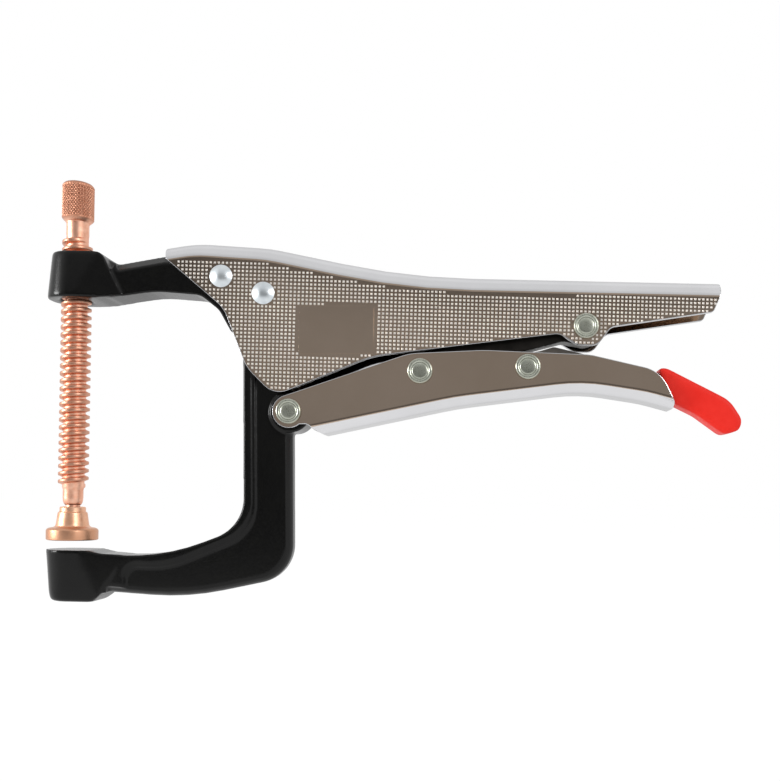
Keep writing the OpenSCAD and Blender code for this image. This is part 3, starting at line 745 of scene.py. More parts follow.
@dataclass
class PressedChannel:
    """A handle half bent from sheet: two side plates joined along a rounded back.

    Attributes:
        name: Name of the piece.
        node: The CAD node that it stands for.
        body: The body that it rides on.
        slot: The record's material slot.
        back: Control points along the back, the inside to their right.
        edge: Control points round the rest of the outline.
        bend_r: Outer radius of the bend.
        sheen_turn: Degrees round the bend where its painted reflection band starts; the strips before it keep
            the side colour as a painted dark line.
        width: Outer width.
        sheet: Thickness of the sheet.
        edge_break: Rounding of the sheet's cut edges.
        bend_faces: Faces round the bend.
        spare: How much deeper the blank is than the finished channel.
        trim_clear: How far the trimming cut stays clear of the back.
    """

    name: str
    node: str
    body: Body
    slot: str
    back: list[Corner]
    edge: list[Corner]
    bend_r: float
    sheen_turn: float
    width: float = 18.0
    sheet: float = 2.0
    edge_break: float = 0.3
    bend_faces: int = 12
    spare: float = 6.0
    trim_clear: float = 12.0

    def opens_down(self) -> bool:
        """Tells whether the channel's open side is below its back."""
        return self.back[0][0] < self.back[-1][0]

    def outline(self) -> tuple[list[Point], list[Point]]:
        """Returns the whole outline and the stretch of it along the back."""
        groups = rounded([*self.back, *self.edge], step=4.0)
        return flat_list(groups), flat_list(groups[: len(self.back)])

    def blank(self) -> bpy.types.Object:
        """Bends an oversize sheet along the back, longer and deeper than the finished channel.

        Returns:
            The bent sheet.
        """
        outline, back = self.outline()
        heights = [z for _, z in outline]
        deep = min(heights) - self.spare if self.opens_down() else max(heights) + self.spare
        ends = [(2 * a[0] - b[0], 2 * a[1] - b[1]) for a, b in ((back[0], back[1]), (back[-1], back[-2]))]
        line = [ends[0], *back, ends[1]]
        block = [*line, (ends[1][0], deep), (ends[0][0], deep)]
        made = plate(self.name, block, -self.width / 2, self.width / 2)

        def on_back(edge: bpy.types.MeshEdge) -> bool:
            """Tells whether an edge runs along the back."""
            a, b = (made.data.vertices[i].co for i in edge.vertices)
            return abs(a.y - b.y) < 1e-6 and all(gap_to(line, (v.x / MM, v.z / MM)) < ON_LINE for v in (a, b))

        edit_marked(made, "EDGE", [on_back(edge) for edge in made.data.edges])
        bpy.ops.mesh.bevel(
            offset=self.bend_r * MM,
            segments=self.bend_faces,
            profile=0.5,
            affect="EDGES",
            clamp_overlap=False,
        )
        done()

        def on_rim(face: bpy.types.MeshPolygon) -> bool:
            """Tells whether a face belongs to the block's open sides."""
            middle = (face.center.x / MM, face.center.z / MM)
            return abs(face.normal.y) < EDGE_ON and gap_to(line, middle) > OFF_LINE

        edit_marked(made, "FACE", [on_rim(face) for face in made.data.polygons])
        bpy.ops.mesh.delete(type="FACE")
        done()
        modify(made, "SOLIDIFY", thickness=self.sheet * MM, offset=-1.0, use_even_offset=True, use_rim=True)
        return made

    def build(self) -> bpy.types.Object:
        """Models the channel: bends the blank, then trims it to the outline.

        Returns:
            The finished mesh, not yet dressed.
        """
        made = self.blank()
        outline, back = self.outline()
        out = self.trim_clear if self.opens_down() else -self.trim_clear
        trim = [*[(x, z + out) for x, z in back], back[-1], *outline[len(back) :], back[0]]
        cut = plate("trim", trim, -self.width, self.width)
        modify(made, "BOOLEAN", operation="INTERSECT", solver="EXACT", object=cut)
        bpy.data.objects.remove(cut)
        mend_normals(made, 1e-6)
        break_edges(made, self.edge_break, segments=2, degrees=55.0)
        smooth(made)
        return made

    def finish(self, made: bpy.types.Object) -> None:
        """Dresses the flat sides and the bend, whose paler nickel is painted reflection, and puts the piece
        on its body.

        Args:
            made: The finished mesh.
        """
        dress(made, SIDE_NICKEL, BACK_NICKEL_REFLECTION)
        # The bend's faces take the paler nickel as painted reflection; its first strips keep the side colour
        # as a painted dark line where the bend starts
        limit = math.cos(math.radians(self.sheen_turn))
        for face in made.data.polygons:
            face.material_index = 0 if abs(face.normal.y) > limit else 1
        place_on(made, self.body, self.slot, self.node)


UPPER_HANDLE = PressedChannel(
    "upper_handle",
    "handle_channel",
    Body.HANDLE,
    "handle_nickel",
    back=[
        near(PIVOT_P, -38.6, 17.72),
        near(PIVOT_P, -26.9, 19.8, 70),
        near(PIVOT_P, 1.6, 18.4, 60),
        (PIVOT_B[0] - 5.8, PIVOT_C[1] + 18.7, 275),
        near(PIVOT_C, 51.2, 18.2),
    ],
    edge=[
        near(PIVOT_C, 51.2, 12.8, 6),
        near(PIVOT_C, 48.4, 6.2, 2),
        near(PIVOT_C, 9.5, -0.2, 4),
        near(PIVOT_C, 4.6, -7.3, 5),
        near(PIVOT_C, -3.0, -7.3, 5),
        near(PIVOT_C, -10.2, -3.1, 5),
        near(PIVOT_B, -18.3, 5.3, 40),
        near(PIVOT_A, -5.6, 5.8, 8.5),
        near(PIVOT_P, -5.9, -28.5, 16),
        near(PIVOT_P, -15.1, -5.9, 14),
        near(PIVOT_P, -37.6, 12.6, 1),
    ],
    bend_r=6.5,
    sheen_turn=7.0,
)

LOBE = [polar(PIVOT_A, 6.3, a) for a in range(310, 105, -10)]

LOWER_LEVER = PressedChannel(
    "lower_lever",
    "lever_channel",
    Body.LEVER,
    "lever_nickel",
    back=[
        near(PIVOT_D, 56.0, -14.8),
        near(PIVOT_D, 45.0, -12.0, 60),
        near(PIVOT_D, 20.5, -8.6, 68),
        near(PIVOT_B, 14.2, -12.9, 120),
        near(PIVOT_A, 12.8, -8.3),
    ],
    edge=[
        near(PIVOT_A, 9.8, -6.9, 2),
        near(PIVOT_A, 7.0, -4.6, 3),
        *[(x, z, 0.0) for x, z in LOBE],
        near(PIVOT_B, -4.3, 6.7, 25),
        near(PIVOT_D, -17.0, 6.1, 60),
        near(PIVOT_D, 23.7, 5.1, 25),
        near(PIVOT_D, 50.4, -0.6, 13),
        near(PIVOT_D, 56.3, -12.4, 3),
    ],
    bend_r=4.4,
    sheen_turn=14.0,
)


# Corners of the plain patch in the dotted plates
PATCH: list[Corner] = [(89.1, 94.9, 1.1), (117.7, 95.4, 1.1), (118.0, 77.1, 1.1), (89.4, 76.6, 1.1)]


@dataclass
class EmbossedDots:
    """Rows of raised square dots that give the upper handle its grip.

    Attributes:
        along: Spacing along the handle.
        across: Spacing across the rows.
        first: Place of the lowest dot at the left in the side view.
        spread: Length and height of the field that the dots are taken from.
        size: Width of a dot at its foot.
        top_share: Width of its flat top, as a share of its foot.
        height: How far a dot stands out.
        tilt: Slope of the rows in degrees, down to the right.
        margin: Plain strip kept along the plate's cut edge.
        back_strip: Plain strip kept below the bend.
        patch_strip: Plain strip kept round the patch.
        patch_break: Rounding of the patch's edge.
        rivets: Centre and clear radius of each rivet head.
    """

    along: float = 1.54
    across: float = 1.47
    first: Point = (30.0, 52.29)
    spread: Point = (228.0, 72.0)
    size: float = 0.8
    top_share: float = 0.62
    height: float = 0.24
    tilt: float = 0.6
    margin: float = 0.55
    back_strip: float = 7.05
    patch_strip: float = 0.6
    patch_break: float = 0.1
    rivets: list[tuple[Point, float]] = field(
        default_factory=lambda: [(RIVET_F, 4.7), (PIVOT_P, 4.7), (PIVOT_C, 5.2)]
    )

    def keeps(self, p: Point, outline: list[Point], back: list[Point]) -> bool:
        """Tells whether a dot belongs at a place on the plate.

        Args:
            p: Centre of the dot.
            outline: The plate's outline.
            back: The outline's stretch along the back.

        Returns:
            True where the real plate has a dot.
        """
        patch = [c[:2] for c in PATCH]
        if holds(patch, p) or gap_to([*patch, patch[0]], p) < self.patch_strip:
            return False
        if any(math.dist(p, centre) < clear for centre, clear in self.rivets):
            return False
        if not holds(outline, p) or gap_to(back, p) < self.back_strip:
            return False
        return gap_to([*outline, outline[0]], p) > self.margin

    def dot(self, name: str) -> bpy.types.Object:
        """Models one dot as a low pyramid with a flat top.

        Args:
            name: Name of the piece that it is the start of.

        Returns:
            The dot, lying on its foot.
        """
        deselect()
        bpy.ops.mesh.primitive_plane_add(size=self.size * MM)
        made = bpy.context.object
        made.name = made.data.name = name
        edit_all(made, "FACE")
        bpy.ops.mesh.extrude_region_move(TRANSFORM_OT_translate={"value": (0.0, 0.0, self.height * MM)})
        bpy.ops.transform.resize(value=(self.top_share, self.top_share, 1.0))
        done()
        return made

    def build(self, name: str, side: int) -> bpy.types.Object:
        """Lays the dots out on one side plate.

        Args:
            name: Name of the piece.
            side: Minus one for the near plate, one for the far one.

        Returns:
            All the dots of that side as one mesh.
        """
        outline, back = UPPER_HANDLE.outline()
        made = self.dot(name)
        corners = len(made.data.vertices)
        for axis, length, gap in ((0, self.spread[0], self.along), (1, self.spread[1], self.across)):
            offset = [0.0, 0.0, 0.0]
            offset[axis] = gap * MM
            modify(
                made,
                "ARRAY",
                count=round(length / gap),
                use_relative_offset=False,
                use_constant_offset=True,
                constant_offset_displace=offset,
                use_merge_vertices=False,
            )
        turn = Matrix.Rotation(math.radians(90), 4, "X")
        tilt = Matrix.Rotation(math.radians(self.tilt), 4, "Y")
        set_in_place(made, Matrix.Translation(Vector((self.first[0], 0.0, self.first[1])) * MM) @ tilt @ turn)
        face = UPPER_HANDLE.width / 2 * MM
        verts = made.data.vertices
        drop: list[bool] = []
        for start in range(0, len(verts), corners):
            group = [verts[i] for i in range(start, start + corners)]
            middle = sum((v.co for v in group), Vector()) / corners
            drop += [not self.keeps((middle.x / MM, middle.z / MM), outline, back)] * corners
            for v in group:
                v.co.y = side * (face - v.co.y)
        edit_marked(made, "VERT", drop)
        bpy.ops.mesh.delete(type="VERT")
        done()
        mend_normals(made)
        # The dots wear the paler nickel, a painted highlight
        dress(made, DOT_NICKEL_HIGHLIGHT)
        place_on(made, Body.HANDLE, "handle_nickel")
        return made

    def patch(self, name: str, side: int) -> bpy.types.Object:
        """Raises the plain patch to half the height of the dots.

        Args:
            name: Name of the piece.
            side: Minus one for the near plate, one for the far one.

        Returns:
            The finished patch.
        """
        face = side * UPPER_HANDLE.width / 2
        made = plate(name, flat_list(rounded(PATCH, 15.0)), face, face + side * self.height / 2)
        break_edges(made, self.patch_break, segments=2, clamp=True)
        smooth(made)
        dress(made, SIDE_NICKEL)
        place_on(made, Body.HANDLE, "handle_nickel")
        return made


@dataclass
class Forging:
    """A forged or dipped piece whose edges all flow into each other.

    Attributes:
        name: Name of the piece.
        node: The CAD node that it stands for.
        body: The body that it rides on.
        slot: The record's material slot.
        finish: Its surface.
        cell: Size of its mesh cells.
        rounds: How often its edges are eased.
        block_x: Where its end block stops, whose edges are eased further.
        block_rounds: How often those are eased.
        rim: Inner line of the raised rim, where a small bank leads down to the web.
        block_face: Strip along the block's working face that keeps its edges.
        block_fade: Height over which the block's easing grows to full.
        bank_floor: Where the bank ends, from the middle of the clamp.
        bank_slope: Width of the bank's slope.
        bank_out: How far out its cut reaches, from the middle of the clamp.
        bank_reach: How far the cut runs on behind the rim.
    """

    name: str
    node: str
    body: Body
    slot: str
    finish: Finish
    cell: float
    rounds: int
    block_x: float = 0.0
    block_rounds: int = 0
    rim: tuple[Corner, ...] = ()
    block_face: float = 1.2
    block_fade: float = 5.0
    bank_floor: float = 6.1
    bank_slope: float = 0.5
    bank_out: float = 10.0
    bank_reach: float = 40.0

    def even(self, made: bpy.types.Object) -> None:
        """Covers the piece with an even mesh."""
        modify(made, "REMESH", mode="VOXEL", voxel_size=self.cell * MM, adaptivity=0.0, use_smooth_shade=True)

    def bank(self, made: bpy.types.Object, side: int) -> None:
        """Cuts a shallow step with a sloping bank into the rim.

        Args:
            made: The piece.
            side: Minus one for its near side, one for its far one.
        """
        line = flat_list(rounded(self.rim))
        behind = line[-1][0] + self.bank_reach
        outline = [*line, (behind, line[-1][1]), (behind, line[0][1])]
        cut = plate("bank", outline, side * self.bank_floor, side * self.bank_out)
        break_edges(cut, self.bank_slope, segments=1)
        modify(made, "BOOLEAN", operation="DIFFERENCE", solver="EXACT", object=cut)
        bpy.data.objects.remove(cut)

    def ease_block(self, made: bpy.types.Object) -> None:
        """Eases the edges of the end block further, but not round its working face.

        Args:
            made: The piece.
        """
        block = made.vertex_groups.new(name="end_block")
        for v in made.data.vertices:
            x, height = v.co.x / MM, abs(v.co.z) / MM
            if x < self.block_x and height > self.block_face:
                block.add([v.index], min(1.0, height / self.block_fade, self.block_x - x), "REPLACE")
        modify(made, "SMOOTH", factor=0.5, iterations=self.block_rounds, vertex_group=block.name)
        made.vertex_groups.clear()

    def build(self, nodes: dict[str, bpy.types.Object]) -> bpy.types.Object:
        """Models the piece from its CAD solid.

        Args:
            nodes: The CAD nodes by name.

        Returns:
            The finished, dressed piece.
        """
        made = copy_of_node(nodes[self.node], self.name)
        self.even(made)
        if self.rim:
            self.bank(made, -1)
            self.bank(made, 1)
            self.even(made)
        modify(made, "SMOOTH", factor=0.5, iterations=self.rounds)
        if self.block_rounds:
            self.ease_block(made)
        take(made)
        bpy.ops.object.shade_smooth()
        dress(made, self.finish)
        place_on(made, self.body, self.slot, self.node)
        return made


# Inner line of the moving jaw's rim, from the anvil round the throat and up the upright
JAW_RIM = ((22.3, -24.5, 0.0), (22.3, -4.2, 6.0), (39.6, -4.7, 80.0), (71.8, 9.5, 16.0), (70.1, 80.0, 0.0))
FORGINGS = [
    Forging(
        "forged_fixed_jaw", "fixed_jaw", Body.HANDLE, "black_paint", FORGED_BLACK,
        cell=0.4, rounds=5, block_x=12.0, block_rounds=40,
    ),
    Forging(
        "forged_moving_jaw", "moving_jaw", Body.JAW, "black_paint", FORGED_BLACK,
        cell=0.45, rounds=3, block_x=13.0, block_rounds=80, rim=JAW_RIM,
    ),
    Forging("dipped_grip", "release_grip", Body.RELEASE, "red_vinyl", RED_VINYL, cell=0.3, rounds=120),
]


@dataclass
class Rivet:
    """One rivet across the clamp with a formed head on each side.

    Attributes:
        node: The CAD node that it stands for.
        body: The body that it rides on.
        centre: Its place in the side view.
        head: How its heads are formed.
        shank_r: Radius of the shank.
        seat: Where the heads sit, from the middle of the clamp.
    """

    node: str
    body: Body
    centre: Point
    head: Head
    shank_r: float = 2.98
    seat: float = 9.06

    def profile(self) -> list[Point]:
        """Draws half of the rivet's profile, from its middle to the crown of one head.

        Returns:
            Radius and height of each corner.
        """
        if self.head is Head.DOMED:
            r, rise = 4.3, 1.7
            ball = (r * r + rise * rise) / (2 * rise)
            half = math.asin(r / ball)
            turns = [half * k / 9 for k in range(8, -1, -1)]
            cap = [(ball * math.sin(t), rise - ball + ball * math.cos(t)) for t in turns]
            head = [(r - 0.1, 0.0), (r, 0.08), *cap]
        else:
            head = [
                (4.7, 0.0), (4.8, 0.1), (4.8, 0.72), (4.72, 0.98), (4.5, 1.18), (4.2, 1.26), (3.85, 1.24),
                (3.5, 1.1), (3.3, 0.86), (3.12, 0.84), (2.95, 0.98), (2.6, 1.08), (1.4, 1.14), (0.0, 1.16),
            ]
        shank = [(0.0, 0.0), (self.shank_r, 0.0), (self.shank_r, self.seat)]
        return shank + [(r, self.seat + z) for r, z in head]

    def build(self) -> bpy.types.Object:
        """Turns both halves, sets them across the clamp and dresses them.

        Returns:
            The finished rivet.
        """
        halves = []
        for side in (-1, 1):
            half = turned(self.node + "_half", self.profile(), steps=48)
            turn = Matrix.Rotation(math.radians(-90 * side), 4, "X")
            set_in_place(half, Matrix.Translation(Vector((self.centre[0], 0.0, self.centre[1])) * MM) @ turn)
            halves.append(half)
        made = joined(self.node + "_headed", halves)
        smooth(made, 40)
        dress(made, DOME_ZINC if self.head is Head.DOMED else RING_ZINC)
        place_on(made, self.body, "rivet_zinc", self.node)
        return made


RIVETS = [
    Rivet("fixed_jaw_rivet", Body.HANDLE, RIVET_F, Head.DOMED),
    Rivet("jaw_pivot_rivet", Body.HANDLE, PIVOT_P, Head.DOMED),
    Rivet("link_anchor_rivet", Body.HANDLE, PIVOT_C, Head.RINGED),
    Rivet("lever_pivot_rivet", Body.JAW, PIVOT_A, Head.RINGED),
    Rivet("link_pivot_rivet", Body.LEVER, PIVOT_B, Head.RINGED),
    Rivet("release_pivot_rivet", Body.LEVER, PIVOT_D, Head.RINGED),
]


@dataclass
class ScrewSpindle:
    """The copper plated screw: ball end, rolled thread, neck and knurled head.

    Attributes:
        root_r: Radius in the thread's valley.
        crest_r: Radius on the thread's ridge.
        pitch: Rise of the thread in one turn.
        foot: Height where the thread starts.
        top: Height where it ends.
        neck_r: Radius of the plain neck under the head.
        head_foot: Height of the head's underside.
        head_top: Height of the head's crown.
        head_r: Radius of the head.
        knurls: Number of knurl grooves each way round.
        knurl_depth: Depth of a groove.
        knurl_slope: How far a groove runs round the head for each step up it.
        knurl_fade: Height over which the grooves run out at both ends.
        knurl_rows: Mesh rows along the knurl.
        turns: Turns of the thread.
        turn_steps: Mesh steps in a turn.
        run_out: Mesh steps over which the ridge fades at both ends.
        ball_r: Radius of the ball that the pad swivels on.
        ball_z: Height of the ball's centre.
    """

    root_r: float = 4.0
    crest_r: float = 5.5
    pitch: float = 3.0
    foot: float = 24.3
    top: float = 122.3
    neck_r: float = 4.1
    head_foot: float = 127.5
    head_top: float = 143.1
    head_r: float = 5.8
    knurls: int = 34
    knurl_depth: float = 0.4
    knurl_slope: float = 0.75
    knurl_fade: float = 0.5
    knurl_rows: int = 44
    turns: int = 32
    turn_steps: int = 40
    run_out: int = 14
    ball_r: float = 3.4
    ball_z: float = 10.6

    def core(self) -> bpy.types.Object:
        """Turns the shaft from the ball to the underside of the head.

        Returns:
            The plain shaft.
        """
        profile = [
            (0.0, self.ball_z - self.ball_r),
            *[polar((0.0, self.ball_z), self.ball_r, a) for a in range(-80, 41, 10)],
            (2.4, 12.9), (2.4, 14.2), (2.65, 14.3), (2.65, 17.3), (2.9, 17.35), (3.3, 17.9), (3.6, 18.9),
            (3.7, 20.2), (3.7, 23.2), (3.85, 23.8), (self.root_r, self.foot),
            (self.root_r, self.top), (self.neck_r, self.top + 0.4), (self.neck_r, self.head_foot - 0.5),
            (self.neck_r + 0.25, self.head_foot + 0.1), (0.0, self.head_foot + 0.1),
        ]
        return turned("spindle_core", profile, steps=64)

    def ridge(self) -> bpy.types.Object:
        """Winds the thread's rounded ridge up the shaft, fading out at both ends.

        Returns:
            The closed ridge.
        """
        low = self.root_r - 0.35
        root, crest = self.root_r, self.crest_r
        half = [
            (low, 1.2), (root + 0.06, 1.15), (root + 0.7, 0.84),
            (crest - 0.22, 0.63), (crest - 0.06, 0.53), (crest, 0.36),
        ]
        section = [(r, -z) for r, z in half] + half[::-1]
        start = self.foot + 0.35
        made = loop_of("spindle_ridge", [Vector((r, 0.0, start + z)) * MM for r, z in section], "NOTHING")
        modify(
            made,
            "SCREW",
            axis="Z",
            angle=2 * math.pi,
            screw_offset=self.pitch * MM,
            iterations=self.turns,
            steps=self.turn_steps,
            render_steps=self.turn_steps,
            use_merge_vertices=False,
        )
        rings = len(made.data.vertices) // len(section)
        for i, v in enumerate(made.data.vertices):
            ring = i // len(section)
            fade = min(1.0, (ring + 2) / self.run_out, (rings + 1 - ring) / self.run_out)
            r = math.hypot(v.co.x, v.co.y)
            eased = low * MM + (r - low * MM) * fade
            v.co.x, v.co.y = v.co.x * eased / r, v.co.y * eased / r
        edit_all(made)
        bpy.ops.mesh.fill_holes(sides=0)
        done()
        mend_normals(made)
        return made

    def head(self) -> bpy.types.Object:
        """Turns the head and rolls crossed knurl grooves into its side.

        Returns:
            The knurled head.
        """
        foot, top, r = self.head_foot, self.head_top, self.head_r
        low, high = foot + 1.7, top - 1.5
        rows = [low + (high - low) * k / self.knurl_rows for k in range(self.knurl_rows + 1)]
        profile = [
            (0.0, foot), (self.neck_r + 0.1, foot), (r - 1.0, foot + 0.5), (r - 0.25, foot + 1.25),
            *[(r, z) for z in rows],
            (r - 0.25, top - 1.0), (r - 0.7, top - 0.5), (r - 1.4, top - 0.2), (r - 2.6, top - 0.05),
            (0.0, top),
        ]
        made = turned("spindle_head", profile, steps=228)
        for v in made.data.vertices:
            radius, z = math.hypot(v.co.x, v.co.y) / MM, v.co.z / MM
            if radius < r - 0.05 or not low - 0.001 <= z <= high + 0.001:
                continue
            around = math.atan2(v.co.y, v.co.x) * self.knurls
            along = (z - low) / r * self.knurls * self.knurl_slope
            groove = max(0.5 + 0.5 * math.cos(around + along), 0.5 + 0.5 * math.cos(around - along)) ** 3
            ends = min(1.0, (z - low) / self.knurl_fade, (high - z) / self.knurl_fade)
            scale = 1 - groove * max(ends, 0.0) * self.knurl_depth / radius
            v.co.x, v.co.y = v.co.x * scale, v.co.y * scale
        return made

    def build(self) -> bpy.types.Object:
        """Joins shaft, ridge and head into the finished spindle.

        Returns:
            The finished, dressed spindle.
        """
        made = joined("screw_spindle", [self.core(), self.ridge(), self.head()])
        take(made)
        bpy.ops.object.shade_smooth_by_angle(angle=math.radians(45))
        dress(made, SPINDLE_COPPER, KNURL_COPPER_SHADE)
        # The knurled head takes the darker copper, with painted shade in its grooves
        knurl_foot = (self.head_foot + 1.3) * MM
        for face in made.data.polygons:
            face.material_index = int(face.center.z > knurl_foot)
        place_on(made, Body.SPINDLE, "copper", "spindle")
        return made


@dataclass
class SwivelPad:
    """The copper pad that swivels on the spindle's ball.

    Attributes:
        face: Height of its clamping face.
        flange_r: Radius of the flange.
        collar_r: Radius of the collar that is rolled over the snap ring.
        socket_r: Radius of the socket for the spindle's ball.
        socket_rise: Height of the socket's centre over the face.
    """

    face: float = 3.6
    flange_r: float = 9.4
    collar_r: float = 4.7
    socket_r: float = 3.5
    socket_rise: float = 7.0

    def build(self) -> bpy.types.Object:
        """Turns the pad with its socket open at the top.

        Returns:
            The finished pad.
        """
        z, f, c, s = self.face, self.flange_r, self.collar_r, self.socket_r
        centre = (0.0, z + self.socket_rise)
        socket = [*[polar(centre, s, a) for a in range(0, -81, -10)], (0.0, centre[1] - s)]
        profile = [
            (0.0, z), (f - 0.6, z), (f - 0.2, z + 0.15), (f, z + 0.5), (f, z + 3.6), (f - 0.15, z + 4.1),
            (f - 0.6, z + 4.55), (f - 1.3, z + 4.8), (c + 2.2, z + 5.0), (c + 1.55, z + 5.4),
            (c + 1.25, z + 6.1), (c + 0.7, z + 10.3), (c + 0.55, z + 10.75), (c + 0.1, z + 11.05),
            (c, z + 11.3), (c, z + 12.6), (c - 0.25, z + 12.95), (c - 0.6, z + 13.0), (3.55, z + 13.0),
            (3.55, z + 10.95), (4.25, z + 10.95), (4.25, z + 8.65), (s, z + 8.65), *socket,
        ]
        made = turned("turned_pad", profile, steps=72)
        smooth(made, 32)
        dress(made, PAD_COPPER)
        place_on(made, Body.PAD, "copper", "swivel_pad")
        return made


@dataclass
class OpeningSpring:
    """The wound wire that pulls the moving jaw open, hooked at both ends.

    Attributes:
        jaw_end: Its eye on the moving jaw.
        handle_end: Its eye under the handle's back.
        coil_r: Mean radius of a coil.
        wire_r: Radius of the wire.
        coils: Number of coils.
        lead: Straight stretch between an eye and the coils.
        coil_steps: Points in a coil.
        eye_step: Degrees between the points of an eye.
    """

    jaw_end: Point = (PIVOT_P[0] + 16.4, PIVOT_P[1] - 19.5)
    handle_end: Point = (PIVOT_B[0] - 7.0, PIVOT_P[1] - 3.5)
    coil_r: float = 3.0
    wire_r: float = 0.58
    coils: int = 14
    lead: float = 3.0
    coil_steps: int = 16
    eye_step: int = 20

    def path(self) -> list[Vector]:
        """Lays out the line that the wire follows: an eye, the coils and another eye.

        Returns:
            The points in order, in metres.
        """
        (ax, az), (bx, bz) = self.jaw_end, self.handle_end
        length = math.dist(self.jaw_end, self.handle_end)
        ux, uz = (bx - ax) / length, (bz - az) / length
        start = self.coil_r + self.lead
        pitch = (length - 2 * start) / self.coils

        def at(s: float, u: float, v: float) -> Vector:
            """A place on the spring, along its axis and across it."""
            return Vector((ax + ux * s - uz * v, u, az + uz * s + ux * v)) * MM

        r = self.coil_r
        eye = [math.radians(a) for a in range(0, 181, self.eye_step)]
        made = [at(r - r * math.sin(t), -r * math.cos(t), 0.0) for t in eye]
        for i in range(self.coils * self.coil_steps + 1):
            turns = i / self.coil_steps
            t = 2 * math.pi * turns
            made.append(at(start + pitch * turns, r * math.cos(t), r * math.sin(t)))
        made += [at(length - r + r * math.sin(t), r * math.cos(t), 0.0) for t in eye]
        return made

    def build(self) -> bpy.types.Object:
        """Draws the wire as a tube and hangs it between the handle and the jaw.

        Returns:
            The finished spring.
        """
        curve = bpy.data.curves.new("wound_spring", "CURVE")
        curve.dimensions, curve.bevel_depth, curve.bevel_resolution = "3D", self.wire_r * MM, 2
        curve.use_fill_caps = True
        points = self.path()
        spline = curve.splines.new("POLY")
        spline.points.add(len(points) - 1)
        for point, place in zip(spline.points, points):
            point.co = (*place, 1.0)
        made = bpy.data.objects.new("wound_spring", curve)
        bpy.context.scene.collection.objects.link(made)
        take(made)
        bpy.ops.object.convert(target="MESH")
        made = bpy.context.object
        bpy.ops.object.shade_smooth()
        dress(made, SPRING_WIRE)
        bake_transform(made)
        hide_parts("jaw_spring")
        log.info("%s: %d faces between handle and jaw", made.name, len(made.data.polygons))
        return made


@dataclass
class BlankedStrip:
    """A flat piece blanked from strip, with its cut edges eased.

    Attributes:
        name: Name of the piece.
        node: The CAD node that it stands for.
        body: The body that it rides on.
        finish: Its surface.
        ease: Rounding of its edges.
    """

    name: str
    node: str
    body: Body
    finish: Finish
    ease: float

    def build(self, nodes: dict[str, bpy.types.Object]) -> bpy.types.Object:
        """Models the piece from its CAD solid.

        Args:
            nodes: The CAD nodes by name.

        Returns:
            The finished, dressed piece.
        """
        made = copy_of_node(nodes[self.node], self.name)
        break_edges(made, self.ease, segments=3, clamp=True)
        smooth(made)
        dress(made, self.finish)
        place_on(made, self.body, "inner_steel", self.node)
        return made


STRIPS = [
    BlankedStrip("release_trigger", "release_lever", Body.RELEASE, BARE_STEEL, 0.4),
    # The link takes the near-black steel as painted shade between the channels
    BlankedStrip("toggle_strut", "toggle_link", Body.LINK, LINK_SHADE_STEEL, 0.5),
]

# CAD nodes that keep their own mesh and only take a finish
PLAIN_NODES: dict[str, Finish] = {
    "anchor_spacers": BARE_STEEL,
    "link_spacers": BARE_STEEL,
    "release_spacers": BARE_STEEL,
    "spring_anchor": BARE_STEEL,
    "pad_snap_ring": SPRING_WIRE,
}


